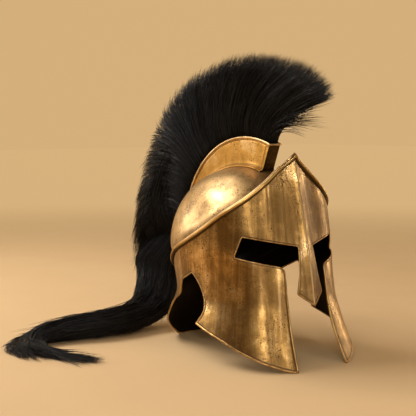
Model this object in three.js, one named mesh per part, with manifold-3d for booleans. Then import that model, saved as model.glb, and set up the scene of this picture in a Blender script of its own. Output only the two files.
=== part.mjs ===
// A Greek bronze helmet with a horsehair crest, standing on its cheek tips and the foot of its neck guard.
// Millimetres, +Z up, the wearer faces -Y. The origin is on the floor under the foot of the neck guard.
// Places on the sheet are a turn round the upright axis of the head, in degrees from the front, and a height.
import * as THREE from 'three';
import { mergeVertices } from 'three/addons/utils/BufferGeometryUtils.js';
import Module from 'manifold-3d';

const wasm = await Module();
wasm.setup();

// Driving dimensions
const templeHalfWidth = 104; // axis to the sheet beside the temples
const browReach = 112; // axis to the sheet at the brow, without its ridge
const napeReach = 128; // axis to the sheet above the nape
const peakHeight = 286; // floor to the tip of the brow
const plateWall = 1.6;
const ridgeRise = 10; // the upright ridge down the brow and nasal
const ridgeTurn = 24; // degrees each side over which the ridge fades
const seatGap = 0.3; // between pieces that are seated on each other

const skullWall = 1.6;
const skullHalfWidth = 101;
const skullFront = 109;
const skullBack = 129;
const skullHeight = 150; // floor to the widest level of the dome
const skullRise = 115; // from there to the crown
const skullLap = 18; // how far the dome reaches down inside the sheet
const skullSquare = 2.15; // how square its sections are, 2 for an ellipse
const flareTurn = 65; // from here on back the dome flares out to the sheet, fully after flareSpread
const flareSpread = 30;
const flareRiseFront = 16; // height of the flare over the rim
const flareRiseBack = 40;
const browSeat = 205; // lower edge of the dome behind the brow

const eyeTop = 161; // upper edge of the eye opening beside the nasal
const eyeOuterTurn = 48; // outer corner of the eye opening
const eyeHeight = 27;
const nasalTip = 81; // floor to the tip of the nasal
const nasalTurn = 10.3; // half spread of the nasal where it is widest
const mouthTurn = 16; // half spread of the gap between the cheek plates
const cheekTop = 130; // upper inner corner of the cheek plate
const earTop = 119;
const earTurn = 94; // middle of the ear opening
const cheekBackTurn = 82.5; // lower rear corner of the cheek plate
const cheekBackHeight = 52;
const guardTurn = 136; // front corner of the neck guard
const guardHeight = 54;

const rimHeight = 7.5; // moulding round the top edge of the sheet
const rimDepth = 4.2;

const boxHalfWidth = 10;
const boxWall = 1.5;
const boxFlange = 5;
const boxBead = 1.2;
const boxRise = 29.7; // top edge of the box over the level of the dome's crown, seen from its centre
const boxRadius = skullRise + boxRise;
const boxCentreY = -2.3;
const boxCentreZ = skullHeight + 13.2;
const boxFront = -21; // degrees back from straight up
const boxBack = 86;
const boxEndPlate = 1.2; // degrees

const hairLength = 130; // from the edge of the box to the tips
const hairHalfWidth = 24; // of the fan near its tips
const tailBehind = 205; // axis to the middle of the tail
const tailReach = 264; // axis to the turn of the tail, sideways
const tailThick = 60;
const hairLift = 0.6; // under the tail

// Sections of the sheet: height as a share of the peak's, then shares of the temple, brow and nape sizes,
// and how square the section is in front and behind
const sheetSections = [
  { height: 0.0, width: 1.19, front: 1.4, back: 1.12, frontSquare: 2.6, backSquare: 2.2 },
  { height: 0.1, width: 1.13, front: 1.275, back: 1.03, frontSquare: 2.7, backSquare: 2.2 },
  { height: 0.21, width: 1.04, front: 1.17, back: 0.93, frontSquare: 2.75, backSquare: 2.1 },
  { height: 0.31, width: 0.98, front: 1.12, back: 0.86, frontSquare: 2.6, backSquare: 2.0 },
  { height: 0.42, width: 0.97, front: 1.075, back: 0.92, frontSquare: 2.55, backSquare: 2.1 },
  { height: 0.56, width: 1.0, front: 1.0, back: 0.99, frontSquare: 2.6, backSquare: 2.2 },
  { height: 0.7, width: 1.0, front: 0.92, back: 1.0, frontSquare: 2.6, backSquare: 2.2 },
  { height: 0.84, width: 0.94, front: 0.84, back: 0.95, frontSquare: 2.5, backSquare: 2.2 },
  { height: 1.05, width: 0.84, front: 0.7, back: 0.8, frontSquare: 2.4, backSquare: 2.2 },
];

// Upper edge of the sheet, from the peak down to the nape, heights as shares of the peak's
const upperEdge = [
  { turn: 0, height: 1.0 },
  { turn: 4, height: 0.976 },
  { turn: 18, height: 0.925 },
  { turn: 32, height: 0.857 },
  { turn: 48, height: 0.78 },
  { turn: 61, height: 0.724 },
  { turn: 77, height: 0.654 },
  { turn: 99, height: 0.58 },
  { turn: 119, height: 0.521 },
  { turn: 134, height: 0.462 },
  { turn: 155, height: 0.405 },
  { turn: 180, height: 0.385 },
];

// Lower edge of the cheek plate, heights as shares of its rear corner's, and of the neck guard, as shares of
// its front corner's
const cheekEdge = [
  { turn: 0, height: 0.0 },
  { turn: mouthTurn, height: 0.0 },
  { turn: 29, height: 0.16 },
  { turn: 43, height: 0.42 },
  { turn: 58, height: 0.7 },
  { turn: cheekBackTurn, height: 1.0 },
];
const guardEdge = [
  { turn: guardTurn, height: 1.0 },
  { turn: 144, height: 0.73 },
  { turn: 153, height: 0.48 },
  { turn: 164, height: 0.18 },
  { turn: 172, height: 0.0 },
  { turn: 180, height: 0.0 },
];

// The fan of hair: place on the box and lean from straight up in degrees, length as a share of the hair's,
// half width as a share of the fan's
const fanRows = [
  { at: -18.5, lean: -62, length: 0.97, width: 0.3 },
  { at: -14, lean: -56, length: 1.03, width: 0.62 },
  { at: -8, lean: -47.5, length: 1.03, width: 0.85 },
  { at: 0, lean: -37, length: 0.99, width: 0.95 },
  { at: 8, lean: -27, length: 0.95, width: 1.0 },
  { at: 15, lean: -16, length: 0.94, width: 1.0 },
  { at: 24, lean: -4, length: 0.95, width: 1.0 },
  { at: 34, lean: 11, length: 0.98, width: 1.0 },
  { at: 42, lean: 24.5, length: 1.01, width: 1.0 },
  { at: 49, lean: 41, length: 1.03, width: 1.0 },
  { at: 56, lean: 56, length: 1.03, width: 1.02 },
  { at: 63, lean: 68, length: 1.04, width: 1.05 },
  { at: 70, lean: 79, length: 1.05, width: 1.08 },
  { at: 76, lean: 90, length: 1.06, width: 1.1 },
  { at: 80, lean: 101, length: 1.1, width: 1.12 },
  { at: 83, lean: 112, length: 1.17, width: 1.15 },
];

// The tail: middle of each section as shares of its reach and of its distance behind, height of its lowest
// point, size along its turn and across it as shares of the tail's thickness, and the turn of the section
const tailRows = [
  { side: -0.0, behind: 1.08, low: 1.35, deep: 1.95, thick: 0.86, turn: 90 },
  { side: -0.015, behind: 1.07, low: 0.95, deep: 1.75, thick: 0.88, turn: 90 },
  { side: -0.05, behind: 1.05, low: 0.45, deep: 1.55, thick: 0.92, turn: 90 },
  { side: -0.11, behind: 1.03, low: 0.08, deep: 1.32, thick: 0.95, turn: 90 },
  { side: -0.23, behind: 0.975, low: 0, deep: 1.1, thick: 0.8, turn: 90 },
  { side: -0.38, behind: 0.935, low: 0, deep: 0.9, thick: 0.7, turn: 90 },
  { side: -0.53, behind: 0.945, low: 0, deep: 0.83, thick: 0.64, turn: 92 },
  { side: -0.68, behind: 0.99, low: 0, deep: 0.77, thick: 0.56, turn: 95 },
  { side: -0.83, behind: 1.02, low: 0, deep: 0.7, thick: 0.43, turn: 102 },
  { side: -0.95, behind: 0.95, low: 0, deep: 0.6, thick: 0.27, turn: 135 },
  { side: -1.0, behind: 0.79, low: 0, deep: 0.5, thick: 0.19, turn: 172 },
  { side: -0.97, behind: 0.61, low: 0, deep: 0.4, thick: 0.14, turn: 190 },
  { side: -0.92, behind: 0.43, low: 0, deep: 0.27, thick: 0.1, turn: 198 },
  { side: -0.84, behind: 0.28, low: 0, deep: 0.08, thick: 0.05, turn: 205 },
];

const degrees = Math.PI / 180;
const mix = THREE.MathUtils.lerp;
const smooth = (x) => THREE.MathUtils.smoothstep(x, 0, 1);

// A smooth curve through a table's rows that never overshoots them
function through(rows, at, column) {
  const x = rows.map((row) => row[at]);
  const y = rows.map((row) => row[column]);
  const slope = x.slice(1).map((_, i) => (y[i + 1] - y[i]) / (x[i + 1] - x[i]));
  const tangent = x.map((_, i) => {
    const before = slope[Math.max(i - 1, 0)];
    const after = slope[Math.min(i, slope.length - 1)];
    return before * after <= 0 ? 0 : (2 * before * after) / (before + after);
  });
  return (value) => {
    const u = THREE.MathUtils.clamp(value, x[0], x[x.length - 1]);
    const next = x.findIndex((edge, i) => i > 0 && u <= edge);
    const i = next - 1;
    const span = x[next] - x[i];
    const t = (u - x[i]) / span;
    const ease = t * t * (3 - 2 * t);
    const bend = span * t * (1 - t) * ((1 - t) * tangent[i] - t * tangent[next]);
    return mix(y[i], y[next], ease) + bend;
  };
}

// Triangles that fill a flat outline and turn the same way as it does
function capFaces(outline) {
  const turnsLeft = THREE.ShapeUtils.area(outline) > 0;
  return THREE.ShapeUtils.triangulateShape(outline, []).map(([p, q, r]) => {
    const left = THREE.ShapeUtils.area([outline[p], outline[q], outline[r]]) > 0;
    return left === turnsLeft ? [p, q, r] : [p, r, q];
  });
}

// Geometry from loops of points: neighbouring loops are joined by faces, the two ends are capped with the
// loop's flat outline, or joined to each other where no outline is given
function loft(loops, flat) {
  const size = loops[0].length;
  const positions = loops.flat().flatMap((point) => point.toArray());
  const faces = [];
  const last = flat ? loops.length - 1 : loops.length;
  for (let i = 0; i < last; i += 1) {
    const a = i * size;
    const b = ((i + 1) % loops.length) * size;
    for (let j = 0; j < size; j += 1) {
      const k = (j + 1) % size;
      faces.push([a + j, a + k, b + k], [a + j, b + k, b + j]);
    }
  }
  if (flat) {
    faces.push(...capFaces(flat.first).map(([p, q, r]) => [r, q, p]));
    const end = (loops.length - 1) * size;
    faces.push(...capFaces(flat.last).map((face) => face.map((corner) => end + corner)));
  }
  return solid(positions, faces);
}

// Welds equal points, drops the faces that vanish and turns the rest outward
function solid(positions, faces) {
  const loose = new THREE.BufferGeometry();
  loose.setAttribute('position', new THREE.Float32BufferAttribute(positions, 3));
  loose.setIndex(faces.flat());
  const welded = mergeVertices(loose, 1e-3);
  const index = welded.getIndex().array;
  const point = (i) => new THREE.Vector3().fromBufferAttribute(welded.getAttribute('position'), i);
  const kept = [];
  let volume = 0;
  for (let i = 0; i < index.length; i += 3) {
    const [a, b, c] = index.slice(i, i + 3);
    if (a !== b && b !== c && c !== a) {
      kept.push([a, b, c]);
      volume += point(a).dot(point(b).cross(point(c)));
    }
  }
  welded.setIndex(kept.flatMap((face) => (volume < 0 ? [face[0], face[2], face[1]] : face)));
  return welded;
}

function toManifold(geometry) {
  const vertProperties = new Float32Array(geometry.getAttribute('position').array);
  const triVerts = new Uint32Array(geometry.getIndex().array);
  return new wasm.Manifold(new wasm.Mesh({ numProp: 3, vertProperties, triVerts }));
}

function fromManifold(body) {
  const mesh = body.getMesh();
  const geometry = new THREE.BufferGeometry();
  geometry.setAttribute('position', new THREE.Float32BufferAttribute(mesh.vertProperties, 3));
  geometry.setIndex(Array.from(mesh.triVerts));
  return geometry;
}

const headColumns = 60;

// Turns round the head, closer together at the ridge
function turns(count) {
  const half = Array.from({ length: count / 2 }, (_, i) => 180 * Math.pow((2 * (i + 1)) / count, 1.25));
  const other = half.slice(0, -1).map((turn) => -turn);
  return [0, ...half, ...other.reverse()];
}

// The sheet's surface
const sectionAt = {};
for (const column of ['width', 'front', 'back', 'frontSquare', 'backSquare']) {
  sectionAt[column] = through(sheetSections, 'height', column);
}

function squareOval(turn, halfWidth, front, back, squareness) {
  const across = Math.abs(Math.sin(turn * degrees)) / halfWidth;
  const along = Math.cos(turn * degrees);
  const reach = along > 0 ? front : back;
  return Math.pow(Math.pow(across, squareness) + Math.pow(Math.abs(along) / reach, squareness), -1 / squareness);
}

function sheetRadius(turn, height) {
  const level = height / peakHeight;
  const squareness = Math.cos(turn * degrees) > 0 ? sectionAt.frontSquare(level) : sectionAt.backSquare(level);
  const width = templeHalfWidth * sectionAt.width(level);
  const front = browReach * sectionAt.front(level);
  const back = napeReach * sectionAt.back(level);
  const ridge = Math.max(0, 1 - Math.abs(turn) / ridgeTurn);
  return squareOval(turn, width, front, back, squareness) + ridgeRise * ridge * ridge;
}

function onTurn(turn, radius, height) {
  const side = Math.abs(turn) === 180 ? 0 : Math.sin(turn * degrees);
  return new THREE.Vector3(radius * side, -radius * Math.cos(turn * degrees), height);
}

const upperShare = through(upperEdge, 'turn', 'height');
const cheekShare = through(cheekEdge, 'turn', 'height');
const guardShare = through(guardEdge, 'turn', 'height');
const upperHeight = (turn) => peakHeight * upperShare(Math.abs(turn));

function lowerHeight(turn) {
  const away = Math.abs(turn);
  const cheek = cheekBackHeight * cheekShare(away);
  const guard = guardHeight * guardShare(away);
  return mix(cheek, guard, smooth((away - cheekBackTurn) / (guardTurn - cheekBackTurn)));
}

// Rings of points round the head, from the bottom to the top of the outside and back down the inside
function shellRings(columns, rows, placeAt) {
  const shares = Array.from({ length: rows + 1 }, (_, i) => i / rows);
  const outer = shares.map((share) => columns.map((turn) => placeAt(turn, share, false)));
  const inner = shares.map((share) => columns.map((turn) => placeAt(turn, share, true)));
  return [...outer, ...inner.reverse()];
}

// Outlines cut through the sheet, as turns and heights on the wearer's left
const eyeOutline = [
  [nasalTurn - 3.6, eyeTop],
  [eyeOuterTurn - 2.5, eyeTop + 14],
  [eyeOuterTurn + 2.5, eyeTop + 14 - eyeHeight],
  [mouthTurn + 3, cheekTop + 5],
  [mouthTurn + 1, cheekTop],
  [mouthTurn + 0.6, cheekTop - 7],
  [nasalTurn - 2.2, cheekTop - 7],
];
const mouthOutline = [
  [mouthTurn + 1, cheekTop],
  [mouthTurn, cheekTop / 2],
  [mouthTurn, -5],
  [-mouthTurn, -5],
  [-mouthTurn, cheekTop / 2],
  [-mouthTurn - 1, cheekTop],
  [2.5 - nasalTurn, cheekTop - 4],
  [-nasalTurn, nasalTip + 17],
  [0, nasalTip],
  [nasalTurn, nasalTip + 17],
  [nasalTurn - 2.5, cheekTop - 4],
];
const curved = (points) => new THREE.SplineCurve(points.map(([turn, height]) => new THREE.Vector2(turn, height)));
const earFront = curved([
  [cheekBackTurn, cheekBackHeight],
  [earTurn - 17.5, earTop - 49],
  [earTurn - 16.6, earTop - 34],
  [earTurn - 13.2, earTop - 21],
  [earTurn - 7.5, earTop - 9],
  [earTurn - 1, earTop],
]);
const earBack = curved([
  [earTurn - 1, earTop],
  [earTurn + 7, earTop - 7],
  [earTurn + 14.5, earTop - 13.5],
  [earTurn + 17.3, earTop - 22],
  [earTurn + 18, earTop - 30],
  [earTurn + 21, earTop - 37],
  [earTurn + 28, earTop - 42.5],
  [earTurn + 36, earTop - 51],
  [guardTurn, guardHeight],
]);
const earOutline = [
  ...earFront.getPoints(12).map((point) => point.toArray()),
  ...earBack.getPoints(17).slice(1).map((point) => point.toArray()),
  [guardTurn, 20],
  [cheekBackTurn, 20],
];

// A cutter with walls that point at the axis of the head
function radialCutter(outline) {
  const longest = 4;
  const points = outline.flatMap(([turn, height], i) => {
    const [nextTurn, nextHeight] = outline[(i + 1) % outline.length];
    const steps = Math.max(1, Math.ceil(Math.abs(nextTurn - turn) / longest));
    return Array.from({ length: steps }, (_, k) => [
      mix(turn, nextTurn, k / steps),
      mix(height, nextHeight, k / steps),
    ]);
  });
  const flat = points.map(([turn, height]) => {
    const fanned = peakHeight + height;
    return new THREE.Vector2(fanned * Math.sin(turn * degrees), fanned * Math.cos(turn * degrees));
  });
  const loopAt = (radius) => points.map(([turn, height]) => onTurn(turn, radius(turn, height), height));
  const loops = [
    loopAt(() => 0.5 * browReach),
    loopAt((turn, height) => sheetRadius(turn, height) - 3 * plateWall),
    loopAt((turn, height) => sheetRadius(turn, height) + 3 * plateWall),
    loopAt(() => 2.5 * browReach),
  ];
  return toManifold(loft(loops, { first: flat, last: flat }));
}

const mirrored = (outline) => outline.map(([turn, height]) => [-turn, height]).reverse();

function facePlate() {
  const belowLap = 0.75;
  const rings = shellRings(turns(headColumns), 12, (turn, share, inside) => {
    const { upward, stretch } = rimFrame(turn);
    const top = upperHeight(turn) - ((rimHeight / 2) * stretch) / upward.z;
    const height =
      share < belowLap
        ? mix(lowerHeight(turn), top - skullLap, share / belowLap)
        : mix(top - skullLap, top, (share - belowLap) / (1 - belowLap));
    return onTurn(turn, sheetRadius(turn, height) - (inside ? plateWall : 0), height);
  });
  const cutters = [eyeOutline, mirrored(eyeOutline), mouthOutline, earOutline, mirrored(earOutline)];
  return fromManifold(cutters.reduce((body, outline) => body.subtract(radialCutter(outline)), toManifold(loft(rings))));
}

// Outward, upward and forward directions along the upper edge of the sheet
function rimFrame(turn) {
  const step = 0.6;
  const edgeAt = (t) => onTurn(t, sheetRadius(t, upperHeight(t)), upperHeight(t));
  const here = edgeAt(turn);
  const before = here.clone().sub(edgeAt(turn - step)).normalize();
  const after = edgeAt(turn + step).sub(here).normalize();
  const along = before.clone().add(after).normalize();
  const below = onTurn(turn, sheetRadius(turn, upperHeight(turn) - 2), upperHeight(turn) - 2);
  const rise = here.clone().sub(below);
  const outward = new THREE.Vector3().crossVectors(along, rise).normalize();
  const upward = new THREE.Vector3().crossVectors(outward, along).normalize();
  return { here, outward, upward, stretch: 1 / Math.max(0.55, along.dot(after)) };
}

// A half-round bead outside the sheet with a lip over its edge
function browRim() {
  const half = rimHeight / 2;
  const lip = plateWall * 0.7;
  const bead = Array.from({ length: 7 }, (_, i) => {
    const angle = mix(-80, 90, i / 6) * degrees;
    return [seatGap + rimDepth * Math.cos(angle), half * Math.sin(angle)];
  });
  const section = [[seatGap, -half], ...bead, [-lip, half], [-lip, seatGap], [seatGap, seatGap]];
  const loops = turns(headColumns).map((turn) => {
    const { here, outward, upward, stretch } = rimFrame(turn);
    const edge = here.clone().addScaledVector(upward, -half * stretch);
    return section.map(([out, up]) => edge.clone().addScaledVector(outward, out).addScaledVector(upward, up * stretch));
  });
  return loft(loops);
}

// The dome: distance out from the axis at a turn and height, flared to the sheet under the rim
function domeRadius(turn, rise) {
  const level = Math.max(0, rise) / skullRise;
  const shrink = Math.pow(Math.max(0, 1 - level * level), 0.45);
  return shrink * squareOval(turn, skullHalfWidth, skullFront, skullBack, skullSquare);
}

function skullPoint(turn, share, inside) {
  const lapShare = 0.3;
  const edge = Math.min(browSeat, upperHeight(turn) - skullLap) - skullHeight;
  const arc = (skullRise * Math.PI) / 2;
  const wayTo = (rise) => (rise > 0 ? skullRise * Math.asin(rise / skullRise) : rise);
  const start = share < lapShare ? wayTo(edge) : wayTo(edge + skullLap);
  const end = share < lapShare ? wayTo(edge + skullLap) : arc;
  const way = mix(start, end, share < lapShare ? share / lapShare : (share - lapShare) / (1 - lapShare));
  const rise = way > 0 ? skullRise * Math.sin(way / skullRise) : way;
  const height = skullHeight + rise;
  const seat = sheetRadius(turn, height) - plateWall - seatGap;
  const blendRise = mix(flareRiseFront, flareRiseBack, (1 - Math.cos(turn * degrees)) / 2);
  const aboveRim = (height - upperHeight(turn)) / blendRise;
  const flare = (1 - smooth(aboveRim)) * smooth((Math.abs(turn) - flareTurn) / flareSpread);
  const flared = mix(domeRadius(turn, rise), seat, flare);
  const outside = aboveRim < 0.01 ? Math.min(seat, flared) : flared;
  const inset = inside ? skullWall : 0;
  const crownward = Math.max(0, rise) / skullRise;
  return onTurn(turn, Math.max(0, outside - inset * smooth((1 - share) * 8)), height - inset * crownward);
}

function skull() {
  return loft(shellRings(turns(headColumns), 10, skullPoint));
}

// Distance from the centre of the crest box to the dome, along a direction back from straight up
function domeReach(angle, side) {
  const direction = new THREE.Vector2(Math.sin(angle * degrees), Math.cos(angle * degrees));
  let low = 40;
  let high = boxRadius;
  for (let i = 0; i < 40; i += 1) {
    const middle = (low + high) / 2;
    const behind = boxCentreY + direction.x * middle;
    const rise = boxCentreZ + direction.y * middle - skullHeight;
    const turn = Math.atan2(side, -behind) / degrees;
    const outside = rise > skullRise || Math.hypot(side, behind) > domeRadius(turn, rise);
    if (outside) high = middle;
    else low = middle;
  }
  return high;
}

function onBox(angle, side, reach) {
  const y = boxCentreY + reach * Math.sin(angle * degrees);
  return new THREE.Vector3(side, y, boxCentreZ + reach * Math.cos(angle * degrees));
}

// One section of the crest box as sideways and outward distances, filled at its end plates
function boxSection(angle, filled) {
  const inner = boxHalfWidth - boxWall;
  const seat = (side) => domeReach(angle, side) + seatGap;
  const floor = filled ? boxRadius - boxBead / 2 : seat(0) + boxWall;
  const flangeTip = boxHalfWidth + boxFlange;
  const right = [
    [0, seat(0)],
    [boxHalfWidth, seat(boxHalfWidth)],
    [flangeTip, seat(flangeTip)],
    [flangeTip, seat(flangeTip) + boxWall],
    [boxHalfWidth + boxWall, seat(boxHalfWidth) + boxWall],
    [boxHalfWidth, seat(boxHalfWidth) + 2 * boxWall],
    [boxHalfWidth, boxRadius - 2 * boxBead],
    [boxHalfWidth + boxBead, boxRadius - boxBead],
    [boxHalfWidth, boxRadius],
    [inner, boxRadius],
    [inner, floor],
  ];
  const left = right.slice(1).map(([side, reach]) => [-side, reach]);
  return [...right, ...left.reverse()];
}

function crestBox() {
  const steps = 30;
  const open = Array.from({ length: steps + 1 }, (_, i) => {
    return { angle: mix(boxFront + boxEndPlate, boxBack - boxEndPlate, i / steps), filled: false };
  });
  const stations = [
    { angle: boxFront, filled: true },
    { angle: boxFront + boxEndPlate, filled: true },
    ...open,
    { angle: boxBack - boxEndPlate, filled: true },
    { angle: boxBack, filled: true },
  ];
  const sections = stations.map(({ angle, filled }) => boxSection(angle, filled));
  const loops = stations.map(({ angle }, i) => sections[i].map(([side, reach]) => onBox(angle, side, reach)));
  const flatten = (section) => section.map(([side, reach]) => new THREE.Vector2(side, reach));
  return loft(loops, { first: flatten(sections[0]), last: flatten(sections[sections.length - 1]) });
}

// A section of hair: a spine from the inner to the outer end, the direction across it and a half width for
// each of its points
const spineSteps = 8;
const spineShares = Array.from({ length: spineSteps }, (_, i) => i / (spineSteps - 1));

function fanSection({ at, lean, length, width, tuft, lifted }) {
  const core = boxHalfWidth - boxWall - seatGap;
  const footReach = lifted ? boxRadius + boxBead / 2 : domeReach(at, 0) + 2 * seatGap + boxWall;
  const foot = onBox(at, 0, footReach);
  const edge = onBox(at, 0, boxRadius + boxBead);
  const upright = edge.clone().sub(foot).normalize();
  const reach = hairLength * length * (1 + 0.05 * tuft);
  const tip = onBox(at, 0, boxRadius);
  tip.y += reach * Math.sin(lean * degrees);
  tip.z += reach * Math.cos(lean * degrees);
  const bend = edge.clone().addScaledVector(upright, reach * 0.3);
  const hair = new THREE.QuadraticBezierCurve3(edge, bend, tip);
  const spread = hairHalfWidth * width * (1 + 0.14 * tuft);
  const spine = spineShares.map((share, i) => (i === 0 ? foot : hair.getPoint((i - 1) / (spineSteps - 2))));
  const widths = spineShares.map((share, i) => {
    const out = (i - 1) / (spineSteps - 2);
    const full = mix(core, spread, Math.sqrt(Math.max(0, out) * 0.9));
    return i < 2 ? core : full * Math.sqrt(1.15 - Math.pow(out, 8));
  });
  return { spine, widths, across: new THREE.Vector3(1, 0, 0) };
}

const tailBulge = 1.12; // square of the fullness of a tail section
const lyingHeight = (thick) => ((tailThick * thick) / 2) * Math.sqrt(tailBulge) + hairLift;
const tailPlaces = tailRows.map(({ side, behind, low, thick, deep, turn }) => {
  const height = low > 0 ? tailThick * (low + 0.5) : lyingHeight(thick);
  return { middle: new THREE.Vector3(tailReach * side, tailBehind * behind, height), thick, deep, turn };
});

function tailSection(place, next, previous, tuft) {
  const along = next.middle.clone().sub(previous.middle).normalize();
  const outward = new THREE.Vector3(Math.cos(place.turn * degrees), Math.sin(place.turn * degrees), 0);
  outward.addScaledVector(along, -outward.dot(along)).normalize();
  const across = new THREE.Vector3().crossVectors(outward, along).normalize();
  const half = (tailThick * place.deep * (1 + 0.08 * tuft)) / 2;
  const spine = spineShares.map((share) => place.middle.clone().addScaledVector(outward, mix(-half, half, share)));
  const full = (tailThick * place.thick) / 2;
  const widths = spineShares.map((share) => full * Math.sqrt(tailBulge - Math.pow(2 * share - 1, 2)));
  return { spine, widths, across };
}

function hairLoop({ spine, widths, across }) {
  const right = spine.map((point, i) => point.clone().addScaledVector(across, widths[i]));
  const left = spine.map((point, i) => point.clone().addScaledVector(across, -widths[i]));
  return [...right, ...left.reverse()];
}

function horsehairCrest() {
  const tuftAt = (i) => Math.cos((i * Math.PI * 2) / 3);
  const fanSteps = 48;
  const column = (name) => through(fanRows.map((row, i) => ({ ...row, i })), 'i', name);
  const curves = { at: column('at'), lean: column('lean'), length: column('length'), width: column('width') };
  const fan = Array.from({ length: fanSteps + 1 }, (_, i) => {
    const row = (i / fanSteps) * (fanRows.length - 1);
    const values = Object.fromEntries(Object.entries(curves).map(([name, curve]) => [name, curve(row)]));
    return fanSection({ ...values, tuft: tuftAt(i) });
  });
  const tailSteps = 30;
  const path = new THREE.CatmullRomCurve3(tailPlaces.map((place) => place.middle));
  const indexed = tailPlaces.map((place, i) => ({ ...place, i }));
  const tailCurve = {
    thick: through(indexed, 'i', 'thick'),
    deep: through(indexed, 'i', 'deep'),
    turn: through(indexed, 'i', 'turn'),
  };
  const placeAt = (i) => {
    const share = THREE.MathUtils.clamp(i / tailSteps, 0, 1);
    const row = share * (tailPlaces.length - 1);
    const middle = path.getPoint(share);
    const thick = tailCurve.thick(row);
    middle.z = Math.max(middle.z, lyingHeight(thick));
    return { middle, thick, deep: tailCurve.deep(row), turn: tailCurve.turn(row) };
  };
  const tail = Array.from({ length: tailSteps + 1 }, (_, i) => {
    return tailSection(placeAt(i), placeAt(i + 1), placeAt(i - 1), tuftAt(i));
  });
  const overEndPlate = fanSection({ ...fanRows[fanRows.length - 1], tuft: tuftAt(fanSteps), lifted: true });
  const sections = [...fan, overEndPlate, ...tail];
  const flatten = ({ spine, widths }) => {
    const right = spine.map((_, i) => new THREE.Vector2(i, widths[i]));
    const left = spine.map((_, i) => new THREE.Vector2(i, -widths[i]));
    return [...right, ...left.reverse()];
  };
  return loft(sections.map(hairLoop), { first: flatten(sections[0]), last: flatten(sections[sections.length - 1]) });
}

const bronze = () => new THREE.MeshStandardMaterial({ color: 0xb07d3c, roughness: 0.38, metalness: 1 });
const hair = () => new THREE.MeshStandardMaterial({ color: 0x0b0a0a, roughness: 0.7, metalness: 0 });

const group = new THREE.Group();
const pieces = [
  ['skull', skull(), bronze()],
  ['face_plate', facePlate(), bronze()],
  ['brow_rim', browRim(), bronze()],
  ['crest_box', crestBox(), bronze()],
  ['horsehair_crest', horsehairCrest(), hair()],
];
for (const [name, geometry, material] of pieces) {
  const mesh = new THREE.Mesh(geometry, material);
  mesh.name = name;
  group.add(mesh);
}
group.position.y = -(sheetRadius(180, 0) - plateWall / 2);

export default group;
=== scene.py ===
# %% [markdown]
# # A Greek bronze helmet with a horsehair crest
# The helmet stands on its cheek tips and on the foot of its neck guard, and the hair of its crest falls
# behind it onto the floor. Smiths raise such a helmet from sheet bronze, so every metal piece here is a
# thin curved sheet with finished edges. The first cell loads the measured model that all the new pieces
# have to fit.

# %% The measured model
import math

import bpy
import numpy as np
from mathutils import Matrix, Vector
from mathutils.geometry import delaunay_2d_cdt, tessellate_polygon


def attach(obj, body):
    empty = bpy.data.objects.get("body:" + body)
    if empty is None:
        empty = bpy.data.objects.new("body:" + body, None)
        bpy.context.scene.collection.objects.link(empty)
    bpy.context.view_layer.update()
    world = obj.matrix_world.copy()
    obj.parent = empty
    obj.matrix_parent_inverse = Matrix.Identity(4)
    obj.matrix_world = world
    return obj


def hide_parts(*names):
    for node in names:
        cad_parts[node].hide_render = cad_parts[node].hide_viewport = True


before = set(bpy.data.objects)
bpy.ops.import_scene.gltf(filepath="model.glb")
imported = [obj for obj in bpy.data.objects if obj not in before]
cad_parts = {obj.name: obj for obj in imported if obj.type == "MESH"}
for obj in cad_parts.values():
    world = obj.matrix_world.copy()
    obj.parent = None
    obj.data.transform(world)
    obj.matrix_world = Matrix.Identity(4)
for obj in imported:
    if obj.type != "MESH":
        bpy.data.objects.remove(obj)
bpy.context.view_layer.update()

print("nodes:", sorted(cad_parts))

# %% [markdown]
# ## Sizes
# The helmet's lengths are in millimetres, and only the floor, the lights and the camera are in metres. A
# place on the sheet is a turn round the upright axis of the head, in degrees from the front, and a height
# over the floor. That axis stands in front of the model's origin, which is under the foot of the neck guard.

# %% Sizes of the helmet
MM = 0.001
TEMPLE_HALF_WIDTH = 104.0
BROW_REACH = 112.0
NAPE_REACH = 128.0
PEAK_HEIGHT = 286.0
PLATE_WALL = 1.6
RIDGE_RISE = 10.0
RIDGE_TURN = 24.0
SEAT_GAP = 0.3

SKULL_WALL = 1.6
SKULL_HALF_WIDTH = 101.0
SKULL_FRONT = 109.0
SKULL_BACK = 129.0
SKULL_HEIGHT = 150.0
SKULL_RISE = 115.0
SKULL_LAP = 18.0
BROW_SEAT = 205.0

EYE_TOP = 161.0
EYE_OUTER_TURN = 48.0
EYE_HEIGHT = 27.0
NASAL_TIP = 81.0
NASAL_TURN = 10.3
MOUTH_TURN = 16.0
CHEEK_TOP = 130.0
EAR_TOP = 119.0
EAR_TURN = 94.0
CHEEK_BACK_TURN = 82.5
CHEEK_BACK_HEIGHT = 52.0
GUARD_TURN = 136.0
GUARD_HEIGHT = 54.0

RIM_HEIGHT = 7.5

BOX_HALF_WIDTH = 10.0
BOX_WALL = 1.5
BOX_FLANGE = 5.0
BOX_BEAD = 1.2
BOX_RADIUS = 144.7
BOX_CENTRE = np.array([-2.3, 163.2])
BOX_FRONT = -21.0
BOX_BACK = 86.0
BOX_END_PLATE = 1.2

HAIR_LENGTH = 130.0
HAIR_HALF_WIDTH = 24.0
TAIL_BEHIND = 205.0
TAIL_REACH = 264.0
TAIL_THICK = 60.0
HAIR_LIFT = 0.6

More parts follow.
